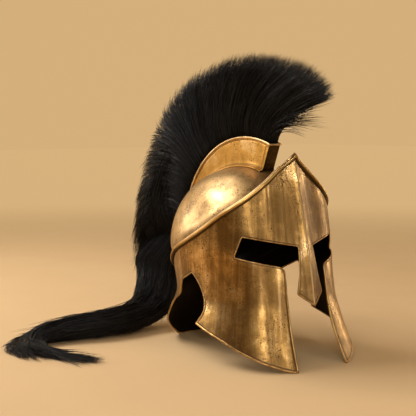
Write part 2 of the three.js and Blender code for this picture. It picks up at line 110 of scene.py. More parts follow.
# %% Tables of sections, as shares of those sizes
# height, width, front, back, squareness in front, squareness behind
SHEET_SECTIONS = np.array([
    [0.00, 1.19, 1.40, 1.12, 2.60, 2.2],
    [0.10, 1.13, 1.275, 1.03, 2.70, 2.2],
    [0.21, 1.04, 1.17, 0.93, 2.75, 2.1],
    [0.31, 0.98, 1.12, 0.86, 2.60, 2.0],
    [0.42, 0.97, 1.075, 0.92, 2.55, 2.1],
    [0.56, 1.00, 1.00, 0.99, 2.60, 2.2],
    [0.70, 1.00, 0.92, 1.00, 2.60, 2.2],
    [0.84, 0.94, 0.84, 0.95, 2.50, 2.2],
    [1.05, 0.84, 0.70, 0.80, 2.40, 2.2],
])
# turn, height
UPPER_EDGE = np.array([
    [0, 1.0], [4, 0.979], [18, 0.925], [32, 0.857], [48, 0.78], [61, 0.724], [77, 0.654],
    [99, 0.58], [119, 0.521], [134, 0.462], [155, 0.405], [180, 0.385],
])
CHEEK_EDGE = np.array([
    [0, 0.0], [MOUTH_TURN, 0.0], [29, 0.16], [43, 0.42], [58, 0.7], [CHEEK_BACK_TURN, 1.0],
])
GUARD_EDGE = np.array([
    [GUARD_TURN, 1.0], [144, 0.73], [153, 0.48], [164, 0.18], [172, 0.0], [180, 0.0],
])
# place on the box, lean, length, half width
FAN_ROWS = np.array([
    [-18.5, -62, 0.97, 0.30], [-14, -56, 1.03, 0.62], [-8, -47.5, 1.03, 0.85], [0, -37, 0.99, 0.95],
    [8, -27, 0.95, 1.0], [15, -16, 0.94, 1.0], [24, -4, 0.95, 1.0], [34, 11, 0.98, 1.0],
    [42, 24.5, 1.01, 1.0], [49, 41, 1.03, 1.0], [56, 56, 1.03, 1.02], [63, 68, 1.04, 1.05],
    [70, 79, 1.05, 1.08], [76, 90, 1.06, 1.1], [80, 101, 1.1, 1.12], [83, 112, 1.17, 1.15],
])
# side, behind, low, deep, thick, turn
TAIL_ROWS = np.array([
    [-0.0, 1.08, 1.35, 1.95, 0.86, 90], [-0.015, 1.07, 0.95, 1.75, 0.88, 90],
    [-0.05, 1.05, 0.45, 1.55, 0.92, 90], [-0.11, 1.03, 0.08, 1.32, 0.95, 90],
    [-0.23, 0.975, 0, 1.1, 0.8, 90], [-0.38, 0.935, 0, 0.9, 0.7, 90],
    [-0.53, 0.945, 0, 0.83, 0.64, 92], [-0.68, 0.99, 0, 0.77, 0.56, 95],
    [-0.83, 1.02, 0, 0.7, 0.43, 102], [-0.95, 0.95, 0, 0.6, 0.27, 135],
    [-1.0, 0.79, 0, 0.5, 0.19, 172], [-0.97, 0.61, 0, 0.4, 0.14, 190],
    [-0.92, 0.43, 0, 0.27, 0.1, 198], [-0.84, 0.28, 0, 0.08, 0.05, 205],
])

# %% [markdown]
# ## Curves and grids
# A beaten sheet has no straight sections, so its sizes run through the tables as smooth curves. The curve
# used here passes every row and never overshoots, which an ordinary spline does. Grids of points become
# meshes with one helper: it welds points that fall together, so a pole or a seam is closed, and drops the
# faces that vanish.

# %% Smooth curves through a table
def through(x, table, column, at=0):
    """Cubic pieces between the rows. The slope at a row is the harmonic mean of the slopes on its two
    sides, or nothing at a high or low point."""
    places, values = table[:, at].astype(float), table[:, column].astype(float)
    slope = np.diff(values) / np.diff(places)
    before, after = np.concatenate([slope[:1], slope]), np.concatenate([slope, slope[-1:]])
    same = before * after > 0
    tangent = np.where(same, 2 * before * after / np.where(same, before + after, 1.0), 0.0)
    u = np.clip(x, places[0], places[-1])
    row = np.clip(np.searchsorted(places, u) - 1, 0, len(slope) - 1)
    span = places[row + 1] - places[row]
    t = (u - places[row]) / span
    ease = t * t * (3 - 2 * t)
    bend = span * t * (1 - t) * ((1 - t) * tangent[row] - t * tangent[row + 1])
    return values[row] * (1 - ease) + values[row + 1] * ease + bend


def smooth(x):
    """Rises from 0 to 1 as x does, level at both ends."""
    t = np.clip(x, 0.0, 1.0)
    return t * t * (3 - 2 * t)


def mix(a, b, share):
    """a, plus that share of the way from a to b."""
    return a + (b - a) * share


# %% The sheet and the dome as surfaces
def square_oval(turn, half_width, front, back, squareness):
    """Radius of an oval whose corners fill out as squareness grows past 2: the sum of the two directions'
    shares, each to that power, to minus one over it."""
    angle = np.radians(turn)
    along = np.cos(angle)
    across = np.abs(np.sin(angle)) / half_width
    reach = np.where(along > 0, front, back)
    return (across**squareness + (np.abs(along) / reach) ** squareness) ** (-1 / squareness)


def sheet_radius(turn, height):
    """Oval of that height's section, plus the upright ridge in front that fades as a parabola."""
    level = height / PEAK_HEIGHT
    width = TEMPLE_HALF_WIDTH * through(level, SHEET_SECTIONS, 1)
    front = BROW_REACH * through(level, SHEET_SECTIONS, 2)
    back = NAPE_REACH * through(level, SHEET_SECTIONS, 3)
    forward = np.cos(np.radians(turn)) > 0
    square = np.where(forward, through(level, SHEET_SECTIONS, 4), through(level, SHEET_SECTIONS, 5))
    ridge = np.clip(1 - np.abs(turn) / RIDGE_TURN, 0, None)
    return square_oval(turn, width, front, back, square) + RIDGE_RISE * ridge**2


FOOT_BEHIND = float(sheet_radius(np.array(180.0), np.array(0.0))) - PLATE_WALL / 2


def on_turn(turn, radius, height):
    """Point at that turn, distance from the axis and height, in the model's own frame."""
    angle = np.radians(turn)
    across, behind = radius * np.sin(angle), -radius * np.cos(angle) - FOOT_BEHIND
    return np.stack([across, behind, height + 0 * turn], -1)


def on_sheet(turn, height):
    """Point on the outer side of the bent sheet."""
    return on_turn(turn, sheet_radius(turn, height), height)


def sheet_normal(turn, height):
    """Cross product of the steps along the turn and up the sheet, pointing out."""
    step = 0.05
    along = on_sheet(turn + step, height) - on_sheet(turn - step, height)
    up = on_sheet(turn, height + step) - on_sheet(turn, height - step)
    normal = np.cross(along, up)
    return normal / np.linalg.norm(normal, axis=-1, keepdims=True)


def upper_height(turn):
    """Height of the sheet's upper edge: the peak's height times a share from the table."""
    return PEAK_HEIGHT * through(np.abs(turn), UPPER_EDGE, 1)


def dome_radius(turn, rise):
    """Flattened dome: the oval shrinks as the cosine of the rise, to a power just under one."""
    level = np.clip(rise, 0, None) / SKULL_RISE
    shrink = np.clip(1 - level**2, 0, None) ** 0.45
    return shrink * square_oval(turn, SKULL_HALF_WIDTH, SKULL_FRONT, SKULL_BACK, 2.15)


print("foot of the neck guard behind the axis:", round(FOOT_BEHIND, 2), "mm")

# %% Meshes from arrays
def grid_faces(rows, columns, close_rows=False, close_columns=True):
    """Squares between neighbouring loops of points; a closed direction joins its last line to the first."""
    i = np.arange(rows if close_rows else rows - 1)[:, None]
    j = np.arange(columns if close_columns else columns - 1)[None, :]
    below, above = i * columns, ((i + 1) % rows) * columns
    right = (j + 1) % columns
    return np.stack([below + j, below + right, above + right, above + j], -1).reshape(-1, 4)


def triangles_of(quads):
    """Every square cut in two along a diagonal."""
    return np.concatenate([quads[:, [0, 1, 2]], quads[:, [0, 2, 3]]])


def add_piece(name, points, faces, uv=None, fields=None, crease=None):
    """A closed mesh from points in millimetres and triangles. Points that fall together become one, and two
    faces on the same three points cancel. The sum of the corners' triple products, six times the volume,
    shows a mesh that is inside out. Faces that meet at more than the crease angle, in degrees, stay sharp."""
    keys = np.round(points / 0.001).astype(np.int64)
    _, first, index = np.unique(keys, axis=0, return_index=True, return_inverse=True)
    triangles = index.ravel()[faces]
    a, b, c = triangles.T
    kept = (a != b) & (b != c) & (c != a)
    triangles, corners = triangles[kept], faces[kept]
    _, same, times = np.unique(np.sort(triangles, 1), axis=0, return_inverse=True, return_counts=True)
    alone = times[same.ravel()] == 1
    triangles, corners = triangles[alone], corners[alone]
    p = points[first]
    one, two, three = (p[triangles[:, k]] for k in range(3))
    if (one * np.cross(two, three)).sum() < 0:
        triangles, corners = triangles[:, ::-1], corners[:, ::-1]
    mesh = bpy.data.meshes.new(name)
    mesh.vertices.add(len(p))
    mesh.vertices.foreach_set("co", (p * MM).astype(np.float32).ravel())
    mesh.loops.add(triangles.size)
    mesh.loops.foreach_set("vertex_index", np.ascontiguousarray(triangles).astype(np.int32).ravel())
    mesh.polygons.add(len(triangles))
    mesh.polygons.foreach_set("loop_start", np.arange(0, triangles.size, 3, dtype=np.int32))
    mesh.polygons.foreach_set("use_smooth", np.ones(len(triangles), dtype=bool))
    mesh.update(calc_edges=True)
    if uv is not None:
        layer = mesh.uv_layers.new(name="Pattern")
        layer.uv.foreach_set("vector", uv[corners].astype(np.float32).ravel())
    for field, values in (fields or {}).items():
        attribute = mesh.attributes.new(field, "FLOAT", "POINT")
        attribute.data.foreach_set("value", values[first].astype(np.float32))
    if crease is not None:
        mesh.set_sharp_from_angle(angle=math.radians(crease))
    piece = bpy.data.objects.new(name, mesh)
    bpy.context.scene.collection.objects.link(piece)
    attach(piece, "root")
    print(name, len(triangles), "triangles, lowest point", round(float(p[:, 2].min()), 2), "mm")
    return piece


# %% [markdown]
# ## The skull
# The skull is one bronze sheet raised over stakes into a dome. A sphere would look wrong: the real form
# is longer than wide and flatter on the sides. It is a grid of turns and of steps from the lower edge to
# the crown, outside and inside, and its lower edge flares out to the face plate, which it is seated in.

# %% Skull
def skull_surface(turn, share, inset):
    """The dome's radius at each share of the way up, drawn out to the inside of the sheet over a band at the
    rim. The way is a quarter circle above the dome's widest part, and straight below it."""
    lap_share = 0.12
    edge = np.minimum(BROW_SEAT, upper_height(turn) - SKULL_LAP) - SKULL_HEIGHT

    def way_to(rise):
        """Way along the profile to a height over the dome's widest part."""
        bounded = np.clip(rise / SKULL_RISE, -1, 1)
        return np.where(rise > 0, SKULL_RISE * np.arcsin(bounded), rise)

    low, seat_way, crown = way_to(edge), way_to(edge + SKULL_LAP), SKULL_RISE * math.pi / 2
    lapped = mix(low, seat_way, share / lap_share)
    domed = mix(seat_way, crown, (share - lap_share) / (1 - lap_share))
    way = np.where(share < lap_share, lapped, domed)
    rise = np.where(way > 0, SKULL_RISE * np.sin(way / SKULL_RISE), way)
    height = SKULL_HEIGHT + rise
    seat = sheet_radius(turn, height) - PLATE_WALL - SEAT_GAP
    blend_rise = mix(16, 40, (1 - np.cos(np.radians(turn))) / 2)
    above_rim = (height - upper_height(turn)) / blend_rise
    flare = (1 - smooth(above_rim)) * smooth((np.abs(turn) - 65) / 30)
    flared = mix(dome_radius(turn, rise), seat, flare)
    outside = np.where(above_rim < 0.01, np.minimum(seat, flared), flared)
    crownward = np.clip(rise, 0, None) / SKULL_RISE
    radius = np.clip(outside - inset * smooth((1 - share) * 8), 0, None)
    return on_turn(turn, radius, height - inset * crownward)


def add_skull():
    """Rows of the outside from the lower edge to the crown, then rows of the inside back down."""
    turns = np.linspace(-180, 180, 193)
    shares = np.linspace(0, 1, 72) ** 1.1
    turn, share = np.meshgrid(turns, shares)
    outer = skull_surface(turn, share, 0.0)
    inner = skull_surface(turn, share, SKULL_WALL)[::-1]
    points = np.concatenate([outer, inner])
    rows = len(points)
    uv = np.stack([np.tile(turn / 360 + 0.5, (2, 1)), np.concatenate([share, share[::-1]])], -1)
    above = points[..., 2] - upper_height(np.tile(turn, (2, 1)))
    to_box = np.clip(np.abs(points[..., 0]) - BOX_HALF_WIDTH - BOX_FLANGE, 0, 99)
    faces = triangles_of(grid_faces(rows, len(turns), close_rows=True, close_columns=False))
    inside = np.repeat([0.0, 1.0], turn.size)
    fields = {"edge": np.clip(above, 0, 99).ravel(), "inside": inside, "crown": to_box.ravel()}
    uv = uv.reshape(-1, 2)
    return add_piece("skull_dome", points.reshape(-1, 3), faces, uv, fields)


skull = add_skull()
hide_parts("skull")

# %% [markdown]
# ## The face plate
# The smith cuts the face plate flat, with its eye, mouth and ear openings, and bends it round the head.
# This cell does the same: the outline is drawn in turns and heights, filled with triangles while it is
# flat, and then bent by the sheet's formula, so every edge stays crisp. A wire is rolled into each free
# edge, which stiffens the sheet and gives the thin bright line along the openings.

# %% The flat pattern
EAR_FRONT = np.array([
    [CHEEK_BACK_TURN, CHEEK_BACK_HEIGHT], [EAR_TURN - 17.5, EAR_TOP - 49], [EAR_TURN - 16.6, EAR_TOP - 34],
    [EAR_TURN - 13.2, EAR_TOP - 21], [EAR_TURN - 7.5, EAR_TOP - 9], [EAR_TURN - 1, EAR_TOP],
])
EAR_BACK = np.array([
    [EAR_TURN - 1, EAR_TOP], [EAR_TURN + 7, EAR_TOP - 7], [EAR_TURN + 14.5, EAR_TOP - 13.5],
    [EAR_TURN + 17.3, EAR_TOP - 22], [EAR_TURN + 18, EAR_TOP - 30], [EAR_TURN + 21, EAR_TOP - 37],
    [EAR_TURN + 28, EAR_TOP - 42.5], [EAR_TURN + 36, EAR_TOP - 51], [GUARD_TURN, GUARD_HEIGHT],
])
DEGREE_WIDTH = 2.0  # millimetres that a degree spans on the sheet, near enough to space points


def cubic(a, b, c, d, t):
    """Catmull-Rom: the cubic from b to c whose slope is (c - a) / 2 at b and (d - b) / 2 at c."""
    square, cube = 2 * a - 5 * b + 4 * c - d, 3 * b - a - 3 * c + d
    return 0.5 * (2 * b + (c - a) * t + square * t**2 + cube * t**3)


def chain(points, steps=12):
    """A smooth curve through points, with evenly many steps in every span."""
    padded = np.concatenate([2 * points[:1] - points[1:2], points, 2 * points[-1:] - points[-2:-1]])
    t = np.linspace(0, 1, steps, endpoint=False)[None, :, None]
    curve = cubic(*(padded[i:len(points) - 1 + i, None, :] for i in range(4)), t)
    return np.concatenate([curve.reshape(-1, points.shape[1]), points[-1:]])


def evenly(points, spacing):
    """Points moved along their own line until they are evenly spaced."""
    scale = np.array([DEGREE_WIDTH, 1.0])
    steps = np.linalg.norm(np.diff(points * scale, axis=0), axis=1)
    way = np.concatenate([[0], np.cumsum(steps)])
    places = np.linspace(0, way[-1], max(2, int(round(way[-1] / spacing)) + 1))
    return np.stack([np.interp(places, way, points[:, k]) for k in range(2)], -1)


def half_outline(spacing):
    """The lower edge on the wearer's left, from the middle of the neck guard to the tip of the nasal. Twice
    every point takes half of its neighbours' mean, which rounds the corners."""
    guard_turns = np.linspace(180, GUARD_TURN, 30)
    guard = np.stack([guard_turns, GUARD_HEIGHT * through(guard_turns, GUARD_EDGE, 1)], -1)
    cheek_turns = np.linspace(CHEEK_BACK_TURN, MOUTH_TURN, 40)
    cheek = np.stack([cheek_turns, CHEEK_BACK_HEIGHT * through(cheek_turns, CHEEK_EDGE, 1)], -1)
    face = np.array([
        [MOUTH_TURN, 0], [MOUTH_TURN, CHEEK_TOP / 2], [MOUTH_TURN + 1, CHEEK_TOP],
        [MOUTH_TURN + 3, CHEEK_TOP + 5], [EYE_OUTER_TURN + 2.5, EYE_TOP + 14 - EYE_HEIGHT],
        [EYE_OUTER_TURN - 2.5, EYE_TOP + 14], [NASAL_TURN - 3.6, EYE_TOP], [NASAL_TURN - 2.5, CHEEK_TOP - 4],
        [NASAL_TURN, NASAL_TIP + 17], [0, NASAL_TIP],
    ], dtype=float)
    ear = np.concatenate([chain(EAR_BACK)[::-1][:-1], chain(EAR_FRONT)[::-1][:-1]])
    line = np.concatenate([guard[:-1], ear, cheek[:-1], face])
    spaced = evenly(line, spacing)
    blurred = spaced.copy()
    for _ in range(2):
        blurred[1:-1] = (blurred[:-2] + 2 * blurred[1:-1] + blurred[2:]) / 4
    return blurred


def whole_outline(spacing=1.3):
    """The half outline and its mirror image, the turns with the other sign."""
    half = half_outline(spacing)
    mirror = half[::-1][1:] * [-1, 1]
    return np.concatenate([half, mirror])


# %% The bent sheet
EDGE_BEAD = 1.5
WIRE_SIDES = 10


def nearest(points, line):
    """Smallest distance from each point to the points of a line, worked out in blocks to save memory."""
    found = np.full(len(points), 1e9)
    for block in np.array_split(line, 1 + len(line) // 60):
        found = np.minimum(found, np.linalg.norm(points[:, None, :] - block[None], axis=-1).min(1))
    return found


def flat_pattern(low):
    """Points and triangles that fill the outline: its own points first, then a grid set in from it."""
    top_turns = np.linspace(180, -180, 301)
    top = np.stack([top_turns, upper_height(top_turns) - RIM_HEIGHT * 0.45], -1)
    heights = np.linspace(low[0, 1], top[0, 1], 46)[1:-1]
    side = np.stack([np.full(len(heights), 180.0), heights], -1)
    outline = np.concatenate([low[::-1], side, top, (side * [-1, 1])[::-1]])
    turn, height = np.meshgrid(np.arange(-155, 156) * 1.16, np.arange(0, 140) * 2.05)
    height = height + (np.arange(turn.shape[1]) % 2) * 1.02
    inside = np.stack([turn.ravel(), height.ravel()], -1)
    scale = np.array([DEGREE_WIDTH, 1.0])
    inside = inside[nearest(inside * scale, outline * scale) > 0.95]
    flat = np.concatenate([outline, inside])
    vectors = [Vector(pair) for pair in flat * scale]
    verts, _, filled, _, _, _ = delaunay_2d_cdt(vectors, [], [list(range(len(outline)))], 1, 1e-5)
    return np.array([tuple(v) for v in verts]) / scale, np.array(filled)


def bead_radius(height):
    """The wire is thinner round the eyes and the nasal than along the lower edges."""
    return EDGE_BEAD * mix(1.0, 0.6, smooth((height - 90) / 40))


def rolled_edge(low):
    """A round wire along the free edge: its middle lies one radius in from the edge, in the sheet."""
    edge = on_sheet(low[:, 0], low[:, 1])
    normal = sheet_normal(low[:, 0], low[:, 1])
    along = np.roll(edge, -1, 0) - np.roll(edge, 1, 0)
    for _ in range(2):
        along = (np.roll(along, 1, 0) + 2 * along + np.roll(along, -1, 0)) / 4
    along /= np.linalg.norm(along, axis=1, keepdims=True)
    inward = np.cross(along, normal)
    inward /= np.linalg.norm(inward, axis=1, keepdims=True)
    radius = bead_radius(low[:, 1])[:, None]
    middle = edge - normal * PLATE_WALL / 2 + inward * radius
    angle = np.linspace(0, 2 * np.pi, WIRE_SIDES + 1)[:-1][None, :, None]
    round_wire = np.cos(angle) * normal[:, None] + np.sin(angle) * inward[:, None]
    ring = middle[:, None] + radius[:, None] * round_wire
    return ring.reshape(-1, 3), triangles_of(grid_faces(len(low), WIRE_SIDES, close_rows=True))


def add_face_sheet():
    """Two sides of the filled pattern, bent, half a wall out and in from the middle of the sheet. They meet
    in a fine edge under the rolled wire and under the moulding."""
    low = whole_outline()[:-1]
    flat, filled = flat_pattern(np.concatenate([low, low[:1] * [-1, 1]]))
    turn, height = flat.T
    outside = on_sheet(turn, height)
    normal = sheet_normal(turn, height)
    edge = on_sheet(low[:, 0], low[:, 1])
    to_edge = nearest(outside, edge)
    to_top = np.clip(upper_height(turn) - RIM_HEIGHT * 0.45 - height, 0, None)
    half = PLATE_WALL / 2 * smooth(np.minimum(to_edge, to_top) / 1.2)[:, None]
    middle = outside - normal * PLATE_WALL / 2
    wire, wire_faces = rolled_edge(low)
    count = len(flat)
    points = np.concatenate([middle + normal * half, middle - normal * half, wire])
    faces = np.concatenate([filled, filled[:, ::-1] + count, wire_faces + 2 * count])
    pattern = np.stack([turn * DEGREE_WIDTH, height], -1) * MM
    wire_pattern = np.repeat(low * [DEGREE_WIDTH, 1] * MM, WIRE_SIDES, 0)
    uv = np.concatenate([pattern, pattern, wire_pattern])
    past_bead = to_edge - 2 * bead_radius(height)
    ridge = np.abs(turn) * DEGREE_WIDTH
    fields = {
        "edge": np.concatenate([past_bead, past_bead, np.full(len(wire), -2.0)]),
        "ridge": np.concatenate([ridge, ridge, np.full(len(wire), 50.0)]),
        "inside": np.concatenate([np.zeros(count), np.ones(count), np.zeros(len(wire))]),
    }
    return add_piece("face_sheet", points, faces, uv, fields)


face_sheet = add_face_sheet()
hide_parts("face_plate")

# %% [markdown]
# ## The moulding of the brow
# A raised moulding hides the joint between skull and face plate. On the real helmet it is a half-round
# strip with a finer bead on each side. Its section is drawn once and carried along the upper edge of the
# sheet, square to it.

# %% Brow moulding
def arc(middle_out, middle_up, radius, start, end, count):
    """Points of a circle between two angles."""
    angle = np.radians(np.linspace(start, end, count))
    return np.stack([middle_out + radius * np.cos(angle), middle_up + radius * np.sin(angle)], -1)


def add_brow_rim():
    """The section stands square to the way along the edge. At the peak it is a mitre: the last section
    before it, moved along the chord to the peak until it reaches the middle plane."""
    half = RIM_HEIGHT / 2
    section = np.concatenate([
        [[0.2, -half]], arc(1.0, -2.95, 0.8, -80, 80, 7), arc(1.7, 0.1, 2.3, -62, 66, 15),
        arc(1.2, 3.0, 0.85, -70, 110, 8), [[-1.1, half], [-1.1, 0.3], [0.2, 0.3]],
    ])
    # sections on either side, degrees without any by the peak, degrees from which the way along is taken
    peak, clear, reach = 190, 4.6, 2.4
    side = np.linspace(clear, 180, peak)
    turn = np.concatenate([-side[::-1], [0], side])[:-1]
    here = on_sheet(turn, upper_height(turn))
    ahead, behind = turn + reach, turn - reach
    along = on_sheet(ahead, upper_height(ahead)) - on_sheet(behind, upper_height(behind))
    along /= np.linalg.norm(along, axis=1, keepdims=True)
    rise = here - on_sheet(turn, upper_height(turn) - 2)
    outward = np.cross(along, rise)
    outward /= np.linalg.norm(outward, axis=1, keepdims=True)
    upward = np.cross(outward, along)
    points = here[:, None] + outward[:, None] * section[None, :, :1]
    points = points + upward[:, None] * (section[None, :, 1:] - half)
    before, course = points[peak - 1], here[peak] - here[peak - 1]
    points[peak] = before - course * before[:, :1] / course[0]
    faces = triangles_of(grid_faces(len(turn), len(section), close_rows=True))
    way = np.concatenate([[0], np.cumsum(np.linalg.norm(np.diff(section, axis=0), axis=1))])
    uv = np.stack(np.broadcast_arrays(turn[:, None] * DEGREE_WIDTH, way[None]), -1).reshape(-1, 2) * MM
    up = np.broadcast_to(section[None, :, 1], points.shape[:2])
    return add_piece("brow_moulding", points.reshape(-1, 3), faces, uv, {"up": up.ravel()})


brow_moulding = add_brow_rim()
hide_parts("brow_rim")

# %% [markdown]
# ## The crest box
# The box that holds the hair is an arc of sheet, soldered on the skull by a narrow flange. Its top edges
# are rolled, and a fine line is chased a few millimetres inside its border. The section changes along the
# arc only where it meets the dome, so the distance to the dome is found for every station by halving an
# interval.

# %% Crest box
def on_box(angle, side, reach):
    """Point of the box: an angle back from upright, a distance sideways and one from the arc's centre."""
    turned = np.radians(angle)
    behind = BOX_CENTRE[0] + reach * np.sin(turned)
    up = BOX_CENTRE[1] + reach * np.cos(turned)
    return np.stack(np.broadcast_arrays(side, behind - FOOT_BEHIND, up), -1).astype(float)


def dome_reach(angle, side):
    """Forty halvings of the interval that holds the dome's surface."""
    low = np.full(np.shape(angle), 40.0)
    high = np.full(np.shape(angle), BOX_RADIUS)
    for _ in range(40):
        middle = (low + high) / 2
        behind = BOX_CENTRE[0] + np.sin(np.radians(angle)) * middle
        rise = BOX_CENTRE[1] + np.cos(np.radians(angle)) * middle - SKULL_HEIGHT
        turn = np.degrees(np.arctan2(side, -behind))
        outside = (rise > SKULL_RISE) | (np.hypot(side, behind) > dome_radius(turn, rise))
        high, low = np.where(outside, middle, high), np.where(outside, low, middle)
    return high


def box_section(angle, filled):
    """Half of the section from the middle of the underside round to the middle of the floor. The chased line
    is a bell curve, 0.55 deep, at a fixed distance from the nearest border."""
    def seat(side):
        """Distance from the arc's centre to just over the dome."""
        return dome_reach(angle, side) + SEAT_GAP

    one = np.ones_like(angle)
    tip, wall, top = BOX_HALF_WIDTH + BOX_FLANGE, BOX_HALF_WIDTH, BOX_RADIUS
    # side, side at which the dome is met, height over it
    flange = [
        (0, 0, 0), (5, 5, 0), (wall, wall, 0), (tip, tip, 0),
        (tip + 0.35, tip, 0.5), (tip + 0.3, tip, 1.1), (tip, tip, 1.5),
        (wall + 2.2, wall + 2.2, 1.55), (wall + 1.0, wall + 1.0, 2.0), (wall + 0.3, wall, 3.2),
    ]
    points = [(side * one, seat(met) + over) for side, met, over in flange]
    foot = seat(wall) + 4.8
    border = 5.4
    from_front = (angle - BOX_FRONT) * math.radians(1) * top
    from_back = (BOX_BACK - angle) * math.radians(1) * top
    reaches = [mix(foot, top - 7.5, share) for share in np.linspace(0, 1, 7)]
    reaches += [(top - drop) * one for drop in (6.4, 6.0, 5.7, 5.4, 5.1, 4.8, 4.4, 3.4)]
    for reach in reaches:
        inset = np.minimum(np.minimum(from_front, from_back), top - reach)
        line = 0.55 * np.exp(-(((inset - border) / 0.42) ** 2))
        points.append((wall - line, reach))
    for side, up in arc(wall + 0.1, -1.6, 1.6, -70, 165, 9):
        points.append((side * one, (top + up) * one))
    inner = wall - BOX_WALL
    floor = np.where(filled, top - 1.2, seat(0) + BOX_WALL)
    points += [(inner * one, (top - 2.2) * one), (inner * one, np.minimum(floor + 0.4, top - 2.2))]
    points += [((inner - 0.4) * one, floor), (0 * one, floor)]
    return np.stack([np.stack(np.broadcast_arrays(side, reach), -1) for side, reach in points], 1)


def cap(outline, at, reverse):
    """Triangles that fill one flat end section."""
    flat = [Vector((side, reach, 0)) for side, reach in outline]
    found = np.array(tessellate_polygon([flat]))
    return (found[:, ::-1] if reverse else found) + at


def add_crest_box():
    """Sections along the arc, close together by the two ends. Where the end plates are, the section is
    filled up to the rolled edges. A rolled lip lies across the front."""
    plate = BOX_END_PLATE
    # degrees from an end
    ends = np.array([0, 0.15, 0.5, 1, 1.4, 1.75, 2.0, 2.15, 2.3, 2.6, 3.1])
    front, back = BOX_FRONT + ends, BOX_BACK - ends[::-1]
    middle = np.linspace(front[-1], back[0], 120)[1:-1]
    angle = np.concatenate([front, middle, back])
    filled = (angle < BOX_FRONT + plate) | (angle > BOX_BACK - plate)
    first, last = np.argmin(filled), len(angle) - np.argmin(filled[::-1])
    angle = np.insert(angle, [first, last], [BOX_FRONT + plate, BOX_BACK - plate])
    filled = np.insert(filled, [first, last], [True, True])
    half = box_section(angle, filled)
    other = half[:, 1:-1][:, ::-1] * [-1, 1]
    section = np.concatenate([half, other], 1)
    rows, columns = section.shape[:2]
    points = on_box(angle[:, None], section[..., 0], section[..., 1]).reshape(-1, 3)
    faces = [triangles_of(grid_faces(rows, columns))]
    faces += [cap(section[0], 0, True), cap(section[-1], (rows - 1) * columns, False)]
    # the lip: how far along the front each ring lies, its radius, and the angles round it
    lip_sides = 12
    lip_side = np.array([-11.4, -11.2, -10.6, *np.linspace(-9.5, 9.5, 9), 10.6, 11.2, 11.4])
    lip_radius = np.array([0.0, 0.8, 1.3, *[1.5] * 9, 1.3, 0.8, 0.0])
    lip_angle = np.linspace(0, 2 * np.pi, lip_sides + 1)[:-1]
    centre = on_box(BOX_FRONT - 0.25, 0, BOX_RADIUS - 1.6)
    lip = np.zeros((len(lip_side), lip_sides, 3))
    lip[..., 0] = lip_side[:, None]
    lip[..., 1] = centre[1] + lip_radius[:, None] * np.cos(lip_angle)
    lip[..., 2] = centre[2] + lip_radius[:, None] * np.sin(lip_angle)
    faces.append(triangles_of(grid_faces(len(lip_side), lip_sides)) + len(points))
    lip = lip.reshape(-1, 3)
    points_all = np.concatenate([points, lip])
    along = np.broadcast_to(angle[:, None] * math.radians(1) * BOX_RADIUS, (rows, columns))
    uv = np.stack([along, section[..., 1]], -1).reshape(-1, 2) * MM
    uv = np.concatenate([uv, lip[:, :2] * MM])
    drop = np.concatenate([(BOX_RADIUS - section[..., 1]).ravel(), np.zeros(len(lip))])
    rise = section[..., 1] - dome_reach(angle, BOX_HALF_WIDTH)[:, None]
    foot = np.concatenate([rise.ravel(), np.full(len(lip), 20.0)])
    end_plate = np.broadcast_to((np.arange(rows) == 0)[:, None], (rows, columns)).ravel()
    end_plate = np.concatenate([end_plate.astype(float), np.zeros(len(lip))])
    fields = {"edge": drop, "foot": foot, "front": end_plate}
    return add_piece("crest_channel", points_all, np.concatenate(faces), uv, fields, 40)


crest_channel = add_crest_box()
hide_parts("crest_box")

# %% [markdown]
# ## The hair
# A crest of horsehair is tied in locks and packed into the box. One form for all of it would look like
# felt, and a real head of hair is far too many threads, so a dark core gives the mass and some thousands
# of thin tapered strands lie over and round it. Each strand is a path from the box, worked out for all
# strands at once as one array of strands by samples, and strands of one lock draw together towards their
# tips.

# %% Paths of the fan
chance = np.random.default_rng(20)
FAN = np.column_stack([np.arange(len(FAN_ROWS)), FAN_ROWS])
LAST_ROW = len(FAN_ROWS) - 1
CORE_HALF = BOX_HALF_WIDTH - BOX_WALL - SEAT_GAP


def fan_path(row, out, side_share):
    """A quadratic Bezier from the edge of the box to the tip: (1-t)^2 edge + 2t(1-t) bend + t^2 tip. Out runs
    from 0 to 1, and is below 0 in the box."""
    at, lean = through(row, FAN, 1), np.radians(through(row, FAN, 2))
    reach = HAIR_LENGTH * through(row, FAN, 3)
    spread = HAIR_HALF_WIDTH * through(row, FAN, 4)
    zero = np.zeros_like(row)
    edge = on_box(at, zero, BOX_RADIUS + BOX_BEAD)
    upright = np.stack([zero, np.sin(np.radians(at)), np.cos(np.radians(at))], -1)
    fall = np.stack([zero, np.sin(lean), np.cos(lean)], -1)
    tip = on_box(at, zero, BOX_RADIUS) + fall * reach[..., None]
    bend = edge + upright * 0.3 * reach[..., None]
    t = np.clip(out, 0, None)[..., None]
    path = (1 - t) ** 2 * edge + 2 * t * (1 - t) * bend + t**2 * tip
    path = path + upright * np.minimum(out, 0)[..., None] * 100
    share = np.clip(out, 0, 1)
    half = mix(CORE_HALF, spread, np.sqrt(0.9 * share)) * np.sqrt(1.15 - share**8)
    path[..., 0] += side_share * half
    return path


# %% [markdown]
# Behind the head the strands hang, bend and lie on the floor. The tail has no box to start from, so its
# rows give a middle line, how deep and how thick it is there, and which way is out. A strand is a smooth
# curve through one point of every row, always at the same share of the depth and of the thickness.

# %% Paths of the tail
TAIL_BULGE = 1.12


